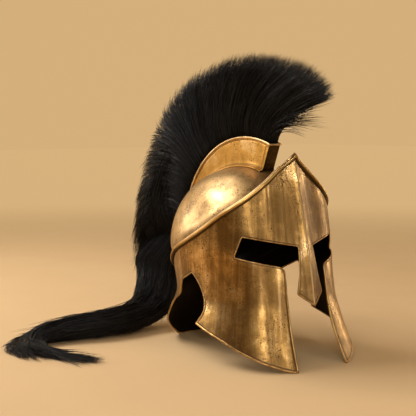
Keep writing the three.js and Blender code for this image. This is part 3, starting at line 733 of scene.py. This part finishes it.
def tail_rows():
    """Middle, outward and across directions, half depth and half thickness of every row of the tail."""
    side, behind, low, deep, thick, turn = TAIL_ROWS.T
    lying = TAIL_THICK * thick / 2 * math.sqrt(TAIL_BULGE) + HAIR_LIFT
    height = np.where(low > 0, TAIL_THICK * (low + 0.5), lying)
    middle = np.stack([TAIL_REACH * side, TAIL_BEHIND * behind - FOOT_BEHIND, height], -1)
    along = np.gradient(middle, axis=0)
    along /= np.linalg.norm(along, axis=1, keepdims=True)
    outward = np.stack([np.cos(np.radians(turn)), np.sin(np.radians(turn)), 0 * turn], -1)
    outward -= along * (outward * along).sum(1, keepdims=True)
    outward /= np.linalg.norm(outward, axis=1, keepdims=True)
    across = np.cross(outward, along)
    return middle, outward, across, TAIL_THICK * deep / 2, TAIL_THICK * thick / 2


def spline(controls, place):
    """Smooth curves of many strands: controls are strands by rows, place is strands by samples."""
    rows = controls.shape[1]
    i = np.clip(np.floor(place).astype(int), 0, rows - 2)
    t = (place - i)[..., None]
    strand = np.arange(len(controls))[:, None]
    a, b = controls[strand, np.clip(i - 1, 0, None)], controls[strand, i]
    c, d = controls[strand, i + 1], controls[strand, np.clip(i + 2, None, rows - 1)]
    return cubic(a, b, c, d, t)


def tail_controls(v, w, root_row):
    """Rows of points for strands at v across and w outward, with three rows before the tail, from the box."""
    middle, outward, across, deep, thick = tail_rows()
    share = (w + 1) / 2
    last = np.full(len(v), float(LAST_ROW))
    root = fan_path(root_row, np.full(len(v), -0.06), v)
    leave = fan_path(root_row, mix(0.16, 0.74, share), v)
    over = mix(fan_path(last, np.clip(share, 0.05, 1), v), leave, mix(0.1, 0.32, share)[:, None])
    full = thick[None] * np.sqrt(np.clip(TAIL_BULGE - w[:, None] ** 2, 0.02, None))
    out, side = (deep[None] * w[:, None])[..., None], (full * v[:, None])[..., None]
    tail = middle[None] + outward[None] * out + across[None] * side
    return np.concatenate([root[:, None], leave[:, None], over[:, None], tail], 1)


# %% [markdown]
# A hair is a round tube, but with this many a three-sided one looks the same for far less. Each strand
# carries two numbers for the finish: a tone of its own, and its way from root to tip, because cut ends
# are greyer.

# %% Strands from paths
def strand_mesh(paths, radius, tone):
    """Three-sided tapered tubes along the paths, each closed at the root and drawn to a point at the tip."""
    count, samples = paths.shape[:2]
    along = np.gradient(paths, axis=1)
    along /= np.maximum(np.linalg.norm(along, axis=-1, keepdims=True), 1e-9)
    fall = np.abs(along[..., 2:])
    guide = np.concatenate([0.15 + fall, 0 * fall, 1.1 - fall], -1)
    first = np.cross(along, guide)
    first /= np.linalg.norm(first, axis=-1, keepdims=True)
    second = np.cross(along, first)
    angle = np.radians([90.0, 210.0, 330.0])[None, None, :, None]
    ring = np.cos(angle) * first[:, :, None] + np.sin(angle) * second[:, :, None]
    tube = paths[:, :, None] + ring * radius[:, :, None, None]
    tube = tube[:, :-1]
    each = (samples - 1) * 3 + 1
    points = np.concatenate([tube.reshape(count, -1, 3), paths[:, -1:]], 1)
    wall = grid_faces(samples - 1, 3)
    last = (samples - 2) * 3
    tip = [[last, last + 1, each - 1], [last + 1, last + 2, each - 1], [last + 2, last, each - 1]]
    faces = np.concatenate([triangles_of(wall), tip, [[0, 2, 1]]])
    faces = (faces[None] + each * np.arange(count)[:, None, None]).reshape(-1, 3)
    way = np.append(np.repeat(np.linspace(0, 1, samples)[:-1], 3), 1.0)
    return points.reshape(-1, 3), faces, {"tone": np.repeat(tone, each), "way": np.tile(way, count)}


def drawn_in(paths):
    """Hair that strays past the crest's outline is drawn back to it: past a limit, a way x becomes
    room * tanh(x / room)."""
    # axis, direction, limit, room
    limits = [(0, -1, 282.0, 14.0), (1, 1, 150.0, 16.0), (1, -1, 316.0, 8.0), (2, 1, 432.0, 12.0)]
    for axis, sign, limit, room in limits:
        past = np.clip(sign * paths[..., axis] - limit, 0, None)
        paths[..., axis] += sign * (room * np.tanh(past / room) - past)
    paths[..., 2] = np.maximum(paths[..., 2], 0.8)
    return paths


# %% Strands of the fan
def fan_strands(count, lock_count, samples, wild):
    """Strands that draw towards the middle of their lock and stray a little on the way out. Behind, they rise
    and then fall, as t * (1 - t) less a cube of the way."""
    lock = chance.integers(0, lock_count, count)
    lock_row, lock_side = chance.uniform(0, LAST_ROW, lock_count), chance.uniform(-1, 1, lock_count)
    lock_side = np.sign(lock_side) * np.abs(lock_side) ** 0.6
    row = lock_row[lock] + chance.normal(0, 0.42, count)
    side = lock_side[lock] + chance.normal(0, 0.16, count)
    lock_long = chance.uniform(1.015, 1.05, lock_count)
    trimmed = chance.random(count) < 0.88
    full, short = chance.uniform(0.98, 1.01, count), chance.uniform(0.84, 1.0, count)
    longest = lock_long[lock] * np.where(trimmed, full, short)
    t = np.linspace(0, 1, samples)[None]
    out = -0.05 + (longest[:, None] + 0.05) * t
    draw = 0.62 * t**1.3
    rows = np.clip(mix(row[:, None], lock_row[lock][:, None], draw), 0, LAST_ROW)
    sides = np.clip(mix(side[:, None], lock_side[lock][:, None], draw), -1.12, 1.12)
    paths = fan_path(rows, out, sides)
    stray = chance.normal(0, 1, (count, 1, 3)) * [1.6, 1.7, 1.7] * wild
    wave = chance.uniform(0, 6.28, (count, 1, 1)) + t[..., None] * chance.uniform(3, 7, (count, 1, 1))
    bow = chance.normal(0, 1, (count, 1, 3)) * 1.4 * wild
    paths = paths + stray * t[..., None] ** 2 + bow * np.sin(wave) * t[..., None]
    behind = smooth((rows - 4) / 8)
    paths[..., 2] += behind * (85 * t * (1 - t) - 24 * t**3)
    return drawn_in(paths), mix(chance.random(lock_count)[lock], chance.random(count), 0.35)


def forelock_strands(count, samples):
    """Loose strands under the front of the crest: the fan's own paths, less a fall that grows as the square
    of the way out."""
    t = np.linspace(0, 1, samples)[None]
    row = chance.uniform(0, 1.2, (count, 1)) + 0 * t
    side = chance.uniform(-0.9, 0.9, (count, 1)) + 0 * t
    paths = fan_path(row, -0.05 + chance.uniform(0.72, 1.0, (count, 1)) * t, side)
    fall = chance.uniform(0.1, 1, (count, 1)) ** 1.4 * t**2
    paths[..., 2] -= 46 * fall
    paths[..., 1] -= 6 * fall
    paths[..., 0] += chance.normal(0, 4, (count, 1)) * t**2
    paths = paths + chance.normal(0, 1, (count, 1, 3)) * 1.5 * np.sin(4 * t[..., None])
    return drawn_in(paths), chance.random(count)


# %% Strands of the tail
def tail_strands(count, samples, starts, lengths, loose, gather=1.0, girth=1.0):
    """Strands on and just under the surface of the tail, in locks that draw together on the way down. At the
    end the outer locks leave the tail's bend first and run on straight, so the end opens like a brush. Beyond
    the row where it leaves, a strand is held there, plus its last step times the way beyond."""
    lock_count = 60
    lock_angle = chance.uniform(0, 2 * np.pi, lock_count)
    lock_radius = np.sqrt(chance.uniform(0.25, 1.0, lock_count))
    lock_v, lock_w = lock_radius * np.cos(lock_angle), lock_radius * np.sin(lock_angle)
    lock = chance.integers(0, lock_count, count)
    angle = chance.uniform(0, 2 * np.pi, count)
    radius = girth * np.sqrt(chance.uniform(0.3, 1.1, count))
    v = np.clip(mix(lock_v[lock], radius * np.cos(angle), 1 - 0.4 * gather), -1.1, 1.1)
    w = np.clip(mix(lock_w[lock], radius * np.sin(angle), 1 - 0.4 * gather), -1.04 * girth, 1.04 * girth)
    rear, front = 14.8, 9.5  # the fan's rows where the inner and the outer strands start
    root_row = np.clip(mix(rear, front, (w + 1) / 2) + chance.normal(0, 0.8, count), 3, LAST_ROW)
    lock_root = mix(rear, front, (lock_w + 1) / 2)
    controls = tail_controls(v, w, root_row)
    rows = controls.shape[1]
    row = np.arange(rows)[None, :, None]
    lock_waves = chance.normal(0, 1, (lock_count, rows, 3)) * [4.2, 3.6, 2.0]
    lock_controls = tail_controls(lock_v, lock_w, lock_root) + lock_waves * smooth((row - 1.5) / 3)
    draw = gather * (0.6 * smooth((row - 2) / 4) + 0.28 * smooth((row - 8) / 5))
    strays = chance.normal(0, 0.8, (count, rows, 3)) * smooth((row - 1.5) / 3)
    controls = mix(controls, lock_controls[lock], draw) + strays
    opening = mix(15.4, 11.7, smooth((lock_w + 1) / 2)) + chance.normal(0, 0.35, lock_count)
    begin = chance.uniform(starts[0], starts[1], count)
    reach = np.minimum(opening[lock] + chance.uniform(0.5, 1.7, count), rows - 1.05)
    end = np.minimum(begin + chance.uniform(lengths[0], lengths[1], count), reach)
    leaving = np.minimum(end - chance.uniform(0.2, 0.9, count) * loose, opening[lock])
    place = begin[:, None] + (end - begin)[:, None] * np.linspace(0, 1, samples)[None]
    held = np.minimum(place, leaving[:, None])
    paths = spline(controls, held)
    back = 0.25
    step = spline(controls, leaving[:, None]) - spline(controls, leaving[:, None] - back)
    beyond = (place - held)[..., None] / back
    spread = np.clip(chance.normal(0, 1, (lock_count, 1, 3)), -1.8, 1.8) * [2.0, 2.0, 0.5]
    spray = spread[lock] + np.clip(chance.normal(0, 1, (count, 1, 3)), -1.8, 1.8) * [0.6, 0.6, 0.3]
    turning = chance.uniform(0, 6.28, (lock_count, 1, 1))[lock] + 0.9 * beyond
    curl = spline(controls, place) - paths
    wider = spline(tail_controls(1.5 * v, 1.5 * w, root_row), place)
    flared = wider - spline(tail_controls(v, w, root_row), place)
    t = np.linspace(0, 1, samples)[None, :, None]
    paths = paths + flared * t**3 * chance.uniform(0, 1, (count, 1, 1)) ** 2 * loose
    wavy = np.sin(turning) - np.sin(turning - 0.9 * beyond)
    paths = paths + 0.3 * curl + 0.75 * step * beyond + spray * beyond + wavy * [1.2, 1.2, 0.5]
    paths[..., 2] = np.maximum(paths[..., 2], 0.9 + chance.uniform(0, 1.6, count)[:, None])
    return drawn_in(paths), mix(chance.random(lock_count)[lock], chance.random(count), 0.25)


# %% [markdown]
# The core is what one sees between the strands. It stays well inside them, and it is the piece that
# stands for the measured hair. The strands come in sets, because one mesh of them all would be too large.

# %% The core of the hair
def add_hair_core():
    """Flat sections across the fan and then the tail: out along one side and back along the other."""
    wide, fan_steps, tail_steps = 12, 60, 50
    shares = np.linspace(0, 1, wide)
    row = np.linspace(0, LAST_ROW, fan_steps)[:, None] + 0 * shares[None]
    out = -0.12 + 0.9 * shares[None] + 0 * row
    right, left = fan_path(row, out, 0.68 + 0 * row), fan_path(row, out, -0.68 + 0 * row)
    fan = np.concatenate([right, left[:, ::-1]], 1)
    outward = np.linspace(-1, 1, wide) * 0.78
    root = mix(14.8, 8.0, (outward + 1) / 2)
    place = np.broadcast_to(np.linspace(2.6, 13.6, tail_steps), (wide, tail_steps))
    right, left = (spline(tail_controls(np.full(wide, v), outward, root), place) for v in (0.7, -0.7))
    tail = np.swapaxes(np.concatenate([right, left[::-1]]), 0, 1)
    tail[..., 2] = np.maximum(tail[..., 2], 1.2)
    loops = np.concatenate([fan, tail])
    count, size = loops.shape[:2]
    k = np.arange(wide - 1)
    ladder = np.stack([k, k + 1, size - 2 - k, size - 1 - k], -1)
    faces = [triangles_of(grid_faces(count, size))]
    faces += [triangles_of(ladder[:, ::-1]), triangles_of(ladder + (count - 1) * size)]
    return add_piece("hair_core", loops.reshape(-1, 3), np.concatenate(faces))


hair_core = add_hair_core()
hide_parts("horsehair_crest")


# %% The sets of strands
def add_strands(name, paths, tone, thick):
    """Strands of about that radius, thinner towards the tip by 0.6 times the fourth power of the way."""
    count, samples = paths.shape[:2]
    thin = 1 - 0.6 * np.linspace(0, 1, samples)[None] ** 4
    radius = thick * chance.uniform(0.75, 1.25, (count, 1)) * thin
    points, faces, fields = strand_mesh(paths, radius, tone)
    return add_piece(name, points, faces, None, fields)


# names, the kind of strands, how many and how long, and their radius in millimetres
SETS = [
    (["fan_strands_1", "fan_strands_2"], fan_strands, (3500, 520, 9, 0.9), 0.44),
    (["rear_strands"], tail_strands, (2000, 12, (0, 0.2), (2.2, 6.5), 0.6, 0.3, 1.22), 0.5),
    (["tail_strands_1", "tail_strands_2"], tail_strands, (1050, 19, (0, 7.5), (7, 11), 1.0), 0.55),
    (["tail_end_strands"], tail_strands, (1000, 13, (8, 12.0), (3, 6), 1.0), 0.42),
    (["flyaway_strands"], fan_strands, (130, 100, 11, 2.4), 0.26),
    (["forelock_strands"], forelock_strands, (150, 11), 0.32),
]
hair_strands = []
for names, strands_of, numbers, thick in SETS:
    for name in names:
        hair_strands.append(add_strands(name, *strands_of(*numbers), thick))

# %% [markdown]
# ## Finishes
# Shader maths reads best as plain expressions, so one small class wraps a socket and turns +, - and * into
# Math nodes, and one method makes every other node from its type, its settings and its inputs.

# %% Shader helpers
class Value:
    """A number that varies over a surface."""

    def __init__(self, paint, socket):
        self.paint, self.socket = paint, socket

    def math(self, operation, first, second):
        """A Math node on two values or numbers."""
        return self.paint.node("ShaderNodeMath", {"operation": operation}, {0: first, 1: second})

    def __add__(self, other):
        return self.math("ADD", self, other)

    def __radd__(self, other):
        return self.math("ADD", other, self)

    def __sub__(self, other):
        return self.math("SUBTRACT", self, other)

    def __rsub__(self, other):
        return self.math("SUBTRACT", other, self)

    def __mul__(self, other):
        return self.math("MULTIPLY", self, other)

    def __rmul__(self, other):
        return self.math("MULTIPLY", other, self)


class Paint:
    """The nodes of a material, or of the surroundings, under construction."""

    def __init__(self, owner, shader="Principled BSDF"):
        self.owner = owner
        owner.use_nodes = True
        self.tree = owner.node_tree
        self.shader = self.tree.nodes[shader]

    def node(self, kind, settings, inputs, output=0):
        """Any node: its settings first, then the numbers or links of its inputs."""
        made = self.tree.nodes.new(kind)
        for setting, value in settings.items():
            setattr(made, setting, value)
        for socket, value in inputs.items():
            self.feed(made.inputs[socket], value)
        return Value(self, made.outputs[output])

    def feed(self, socket, value):
        """A link for a value that varies, a plain number or colour on the socket itself."""
        if isinstance(value, Value):
            self.tree.links.new(value.socket, socket)
        else:
            socket.default_value = value

    def set(self, **inputs):
        """Inputs of the shader, with _ for the spaces in their names."""
        for name, value in inputs.items():
            self.feed(self.shader.inputs[name.replace("_", " ")], value)

    def place(self, scale=(1, 1, 1), source="Object"):
        """Coordinates times a scale along each axis; a small one draws a pattern out."""
        spot = self.node("ShaderNodeTexCoord", {}, {}, source)
        return self.node("ShaderNodeVectorMath", {"operation": "MULTIPLY"}, {0: spot, 1: scale})

    def noise(self, vector, scale, detail=3.0, rough=0.55, warp=0.0):
        """Soft noise from 0 to 1; the scale is how many swells lie on a metre."""
        inputs = {"Vector": vector, "Scale": scale, "Detail": detail, "Roughness": rough, "Distortion": warp}
        return self.node("ShaderNodeTexNoise", {}, inputs)

    def step(self, value, low, high, start=0.0, end=1.0):
        """Smooth change from start to end as the value goes from low to high."""
        inputs = {"Value": value, "From Min": low, "From Max": high, "To Min": start, "To Max": end}
        return self.node("ShaderNodeMapRange", {"interpolation_type": "SMOOTHSTEP"}, inputs)

    def blend(self, factor, first, second):
        """A colour that goes from the first to the second as the factor goes from 0 to 1."""
        return self.node("ShaderNodeMix", {"data_type": "RGBA"}, {0: factor, 6: first, 7: second}, 2)

    def field(self, name):
        """A number kept on the points of the mesh."""
        return self.node("ShaderNodeAttribute", {"attribute_name": name}, {}, "Fac")

    def bump(self, height, distance, strength, before=None):
        """A normal tilted by the slope of a height, on top of an earlier one if there is one."""
        inputs = {"Strength": strength, "Distance": distance, "Height": height}
        if before is not None:
            inputs["Normal"] = before
        return self.node("ShaderNodeBump", {}, inputs)


def cover(material, *pieces):
    """Gives the pieces that material alone."""
    for piece in pieces:
        piece.data.materials.clear()
        piece.data.materials.append(material)


# %% [markdown]
# Old bronze is never one colour. Where it is handled it stays pale gold, it browns in soft clouds, and small
# pits keep a nearly black dirt. All of these are noises in the piece's own space at three sizes, and they
# drive the colour, the roughness and a slight bump together. The darker corners by the mouldings are
# painted shade mixed with that browning, and come with each piece below.

# %% Bronze
PALE = (0.84, 0.62, 0.34, 1)
GOLD = (0.52, 0.310, 0.095, 1)
BROWN = (0.15, 0.080, 0.024, 1)
DIRT_AND_SHADOW = (0.020, 0.012, 0.009, 1)
# painted shade: near black for the inner sides of the sheets
INSIDE_SHADE = (0.010, 0.006, 0.004, 1)
ORANGE, DARK_ORANGE = (0.52, 0.27, 0.055, 1), (0.11, 0.05, 0.011, 1)


class Bronze(Paint):
    """Old bronze. Its mottle is a sum of clouds, blots and grain, with streaks along the piece's own UV."""

    def __init__(self, name, gold, brown, browning, streaks=0.0, pits=1.0):
        super().__init__(bpy.data.materials.new(name))
        spot = self.place()
        clouds = self.noise(spot, 17.0, 5.0, 0.62, 0.6)
        blots = self.noise(spot, 62.0, 4.0, 0.6, 0.3)
        self.grain = self.noise(spot, 420.0, 3.0, 0.6)
        self.mottle = clouds * 0.55 + blots * 0.3 + self.grain * 0.15
        if streaks:
            lines = self.noise(self.place((1.0, 0.07, 1.0), "UV"), 260.0, 4.0, 0.6, 0.15)
            self.mottle = self.mottle * (1 - streaks) + lines * streaks
        self.colour = self.blend(self.step(self.mottle, 0.5, 0.36) * 0.5, gold, PALE)
        self.tint(self.step(self.mottle, *browning) * 0.85, brown)
        group = self.noise(spot, 38.0, 3.0)
        small, large = (self.cells(spot, scale) for scale in (380.0, 150.0))
        small_pits = self.step(small, 0.34, 0.18) * self.step(group, 0.46, 0.6) * pits
        self.pit = small_pits + self.step(large, 0.2, 0.12) * self.step(group, 0.46, 0.56) * pits
        self.tint(self.pit * 0.9, DIRT_AND_SHADOW)

    def cells(self, spot, scale):
        """Distance to the nearest of many scattered points."""
        return self.node("ShaderNodeTexVoronoi", {"feature": "F1"}, {"Vector": spot, "Scale": scale})

    def tint(self, share, colour):
        """Moves the colour a share of the way towards another."""
        self.colour = self.blend(share, self.colour, colour)

    def finish(self, piece, roughness, dull, dents, dent_depth, grain_depth):
        """Rougher where mottled, pitted or dull. The normal is bent by wide dents, then by grain and pits."""
        rough = self.step(self.mottle, 0.35, 0.68, *roughness) + self.pit * 0.3 + dull * 0.25
        dented = self.bump(dents, dent_depth, 0.5)
        normal = self.bump(self.grain * 0.35 + (1 - self.pit), grain_depth, 0.6, dented)
        self.set(Base_Color=self.colour, Metallic=1.0, Roughness=rough, Normal=normal)
        cover(self.owner, piece)


# %% [markdown]
# Each bronze piece then gets what belongs to its place, from the distances kept on its points: painted shade
# mixed with patina on the dome over the moulding, painted shade on the dome by the crest box, in bands beside
# the ridge of the brow and on the box's front plate, painted shadow under the moulding, near-black painted
# shade on the inner sides, painted highlights along the ridge of the nose and on the tops of the moulding and
# of the box, a darker foot of the box, rubbed edges, and a dark line beside the rolled wire.

# %% Bronze of the dome
dome = Bronze("patinated_dome_bronze", (0.56, 0.365, 0.155, 1), BROWN, (0.46, 0.68))
# painted shade mixed with patina: browner within 16 mm over the moulding, in the corner where the dome meets
# it
rim_shade_and_patina = dome.step(dome.field("edge"), 16.0, 0.5) * dome.step(dome.mottle, 0.3, 0.6, 0.35, 1.0)
dome.tint(rim_shade_and_patina * 0.75, BROWN)
shaded = dome.step(dome.field("crown"), 40.0, 0.0) * dome.step(dome.mottle, 0.3, 0.6, 0.45, 1.0)
dome.tint(shaded * 0.9, BROWN)
# painted shade: the dome's inner side is coloured near black
inner = dome.field("inside")
dome.tint(inner, INSIDE_SHADE)
dome.set(Coat_Weight=0.2, Coat_Roughness=0.3)
dome.finish(skull, (0.34, 0.46), rim_shade_and_patina + inner + shaded * 0.5, dome.mottle, 0.0003, 0.0003)

# %% Bronze of the face plate
face = Bronze("streaked_face_bronze", (0.47, 0.27, 0.08, 1), BROWN, (0.40, 0.60), 0.12)
flutes = face.noise(face.place((1.0, 0.05, 1.0), "UV"), 75.0, 2.0, 0.5, 0.3)
edge, ridge = face.field("edge"), face.field("ridge")
line = face.step(edge, -0.5, 0.0) * face.step(edge, 1.9, 0.5)
shaded = face.step(edge, 28.0, 1.0) * face.step(face.mottle, 0.34, 0.56)
face.tint(shaded * 0.5, BROWN)
face.tint(line * 0.8, (0.055, 0.034, 0.032, 1))
face.tint(face.step(edge, 0.0, -0.7) * 0.8, (0.66, 0.41, 0.15, 1))
# painted shade: browner bands either side of the ridge, between the bright reflections on the brow
brow_shade_band = face.step(ridge, 3.0, 12.0) * face.step(ridge, 46.0, 26.0)
face.tint(brow_shade_band * face.step(face.mottle, 0.3, 0.56, 0.2, 0.9), BROWN)
lines = face.noise(face.place((1.0, 0.04, 1.0), "UV"), 140.0, 3.0, 0.6, 0.1)
face.tint(face.step(lines, 0.52, 0.36) * 0.4 * (1 - line), BROWN)
face.tint(face.step(lines, 0.54, 0.72) * 0.25 * (1 - line), PALE)
# painted highlight: a pale line down the ridge of the brow and the nasal
face.tint(face.step(ridge, 1.9, 0.5) * 0.85, PALE)
# painted shade: the plate's inner side is coloured near black
inner = face.field("inside")
face.tint(inner, INSIDE_SHADE)
tarnish = face.step(flutes, 0.42, 0.66) * face.step(face.mottle, 0.3, 0.6, 0.4, 1.0)
face.tint(tarnish * 0.6 * (1 - inner), BROWN)
face.finish(face_sheet, (0.26, 0.42), line + inner, flutes, 0.0012, 0.00018)

# %% Bronze of the moulding and of the crest box
rim = Bronze("rim_bronze_painted_light", GOLD, BROWN, (0.5, 0.7), 0.0, 0.4)
up = rim.field("up")
# painted highlight: paler along the top of the moulding's section
rim.tint(rim.step(up, 1.7, 2.8) * 0.8, PALE)
# painted shadow: near black along the foot of the moulding, where it meets the sheet
low = rim.step(up, -1.3, -2.2)
rim.tint(low * 0.85, DIRT_AND_SHADOW)
rim.finish(brow_moulding, (0.24, 0.42), low, rim.mottle, 0.0001, 0.00006)

box = Bronze("satin_box_bronze", ORANGE, DARK_ORANGE, (0.46, 0.68), 0.06, 0.8)
drop, foot = box.field("edge"), box.field("foot")
# painted highlight: paler along the rolled top edges and the front lip
box.tint(box.step(drop, 3.4, 2.6) * 0.7, PALE)
groove = box.step(drop, 4.4, 5.0) * box.step(drop, 6.4, 5.6)
corner = box.step(foot, 6.0, 3.4) * box.step(foot, 0.4, 2.2)
box.tint((groove + corner) * 0.6, DARK_ORANGE)
# painted shade: the front end plate is coloured near black
front = box.field("front")
box.tint(front * box.step(box.mottle, 0.62, 0.36, 0.95, 0.6), (0.04, 0.022, 0.01, 1))
box.finish(crest_channel, (0.3, 0.48), corner + front * 0.6, box.mottle, 0.0004, 0.0002)

# %% [markdown]
# Horsehair is black but not a hole: each strand shines along its length. The tone of each strand is its
# own number, kept on its points, and it takes the black a little towards grey, as the cut ends do.

# %% Horsehair
paint = Paint(bpy.data.materials.new("black_horsehair"))
tone = paint.field("tone")
dust = paint.noise(paint.place(), 60.0, 3.0)
shade = paint.blend(paint.step(tone, 0.5, 0.95), (0.0008, 0.0008, 0.0010, 1), (0.022, 0.021, 0.021, 1))
shade = paint.blend(dust * 0.2, shade, (0.005, 0.0045, 0.005, 1))
cut_end = paint.step(paint.field("way"), 0.82, 1.0)
shade = paint.blend(cut_end * 0.55, shade, (0.05, 0.048, 0.047, 1))
paint.set(Base_Color=shade, Roughness=paint.step(tone, 0.35, 0.85, 0.62, 0.24) + dust * 0.1)
paint.set(Specular_IOR_Level=0.26)
cover(paint.owner, *hair_strands)

paint = Paint(bpy.data.materials.new("hair_shadow"))
depth = paint.noise(paint.place(), 240.0, 3.0)
black = paint.blend(depth, (0.002, 0.002, 0.002, 1), (0.007, 0.006, 0.006, 1))
paint.set(Base_Color=black, Roughness=0.9, Specular_IOR_Level=0.15)
cover(paint.owner, hair_core)

# %% [markdown]
# ## Floor, light and camera
# A plain pale floor and soft light stand in for a studio. Far out the floor gives way to a glow of the
# same colour as the surroundings, so that no horizon cuts the picture. The glow is brighter where the
# camera looks, and depends on the place on the floor alone.

# %% Floor
BACKDROP = (0.616, 0.788, 0.0)
WALL, BRIGHT_WALL = (0.20, 0.130, 0.066, 1), (0.66, 0.43, 0.20, 1)


def facing_backdrop(paint, spot):
    """From 0 to 1 as a direction turns towards the backdrop: its dot product with the way there."""
    level = paint.node("ShaderNodeVectorMath", {"operation": "NORMALIZE"}, {0: spot})
    inputs = {0: level, 1: BACKDROP}
    share = paint.node("ShaderNodeVectorMath", {"operation": "DOT_PRODUCT"}, inputs, "Value")
    return paint.step(share, 0.2, 1.0)


def add_floor():
    """One square just under the helmet: paper near it, which fades to a glow from 0.5 to 2.6 metres out."""
    mesh = bpy.data.meshes.new("studio_floor")
    size, drop = 9.0, -0.0004
    corners = [(-size, -size, drop), (size, -size, drop), (size, size, drop), (-size, size, drop)]
    mesh.from_pydata(corners, [], [(0, 1, 2, 3)])
    floor = bpy.data.objects.new("studio_floor", mesh)
    bpy.context.scene.collection.objects.link(floor)
    paint = Paint(bpy.data.materials.new("pale_studio_floor"))
    spot = paint.place()
    paper = paint.blend(paint.noise(spot, 6.0, 3.0), (0.60, 0.42, 0.23, 1), (0.66, 0.465, 0.255, 1))
    away = paint.node("ShaderNodeVectorMath", {"operation": "LENGTH"}, {0: spot}, "Value")
    far = paint.step(away, 0.5, 2.6)
    glow = paint.blend(facing_backdrop(paint, spot), WALL, BRIGHT_WALL)
    black = (0, 0, 0, 1)
    paint.set(Base_Color=paint.blend(far, paper, black), Emission_Color=paint.blend(far, black, glow))
    paint.set(Roughness=0.9, Emission_Strength=1.0, Specular_IOR_Level=0.1)
    floor.data.materials.append(paint.owner)


add_floor()


# %% [markdown]
# Metal shows what it mirrors, so the lamps are placed for their reflections. The overhead one makes the
# wide glow on the dome, and narrow upright ones draw the bright streaks down the cheeks and the nose.

# %% Light
def add_lamp(name, place, size, power, colour):
    """A soft rectangle that points at the middle of the helmet."""
    light = bpy.data.lights.new(name, "AREA")
    light.shape, light.size, light.size_y = "RECTANGLE", size[0], size[1]
    light.energy, light.color = power, colour
    lamp = bpy.data.objects.new(name, light)
    lamp.location = place
    lamp.rotation_euler = (Vector(HELMET_MIDDLE) - Vector(place)).to_track_quat("-Z", "Y").to_euler()
    bpy.context.scene.collection.objects.link(lamp)


HELMET_MIDDLE = (0.0, -0.14, 0.2)
# name, place, width and height, power, colour
for lamp in (
    ("overhead", (-0.735, 0.835, 1.655), (1.5, 0.9), 32, (1.0, 0.96, 0.92)),
    ("back_left", (-0.61, 1.29, 0.587), (0.45, 0.45), 4, (1.0, 0.93, 0.83)),
    ("cheek_glow", (-1.28, 0.94, 0.5), (0.25, 0.4), 3.5, (1.0, 0.96, 0.9)),
    ("left", (-0.95, -0.75, 1.5), (0.6, 0.6), 5, (1.0, 0.95, 0.88)),
    ("front_strip", (-0.10, -2.1, 0.72), (0.07, 0.9), 6.5, (1.0, 0.97, 0.92)),
    ("ridge_strip", (0.9, -1.7, 0.5), (0.06, 0.7), 1.2, (1.0, 0.96, 0.9)),
    ("side_strip", (-1.17, -1.7, 0.84), (0.12, 1.1), 9, (1.0, 0.96, 0.9)),
    ("far_strip", (1.72, -0.26, 0.45), (0.09, 0.9), 3.5, (1.0, 0.86, 0.64)),
):
    add_lamp(*lamp)

# %% Surroundings
world = bpy.data.worlds.new("studio")
sky = Paint(world, "Background")
direction = sky.node("ShaderNodeTexCoord", {}, {}, "Generated")
sky.set(Color=sky.blend(facing_backdrop(sky, direction), WALL, BRIGHT_WALL))
bpy.context.scene.world = world
bpy.context.scene.view_settings.view_transform = "Standard"

# %% [markdown]
# The camera looks from the helmet's right side and a little above, where the photograph was taken. Its
# place, its direction and its lens were fitted to the photograph's frame.

# %% Camera
lens = bpy.data.cameras.new("photo_view")
lens.lens, lens.sensor_width = 86.54, 36.0
lens.clip_start = 0.05
viewer = bpy.data.objects.new("photo_view", lens)
viewer.location = (-0.9305, -1.2361, 0.3300)
viewer.rotation_euler = Vector((0.6133, 0.7850, -0.0872)).to_track_quat("-Z", "Y").to_euler()
bpy.context.scene.collection.objects.link(viewer)
bpy.context.scene.camera = viewer
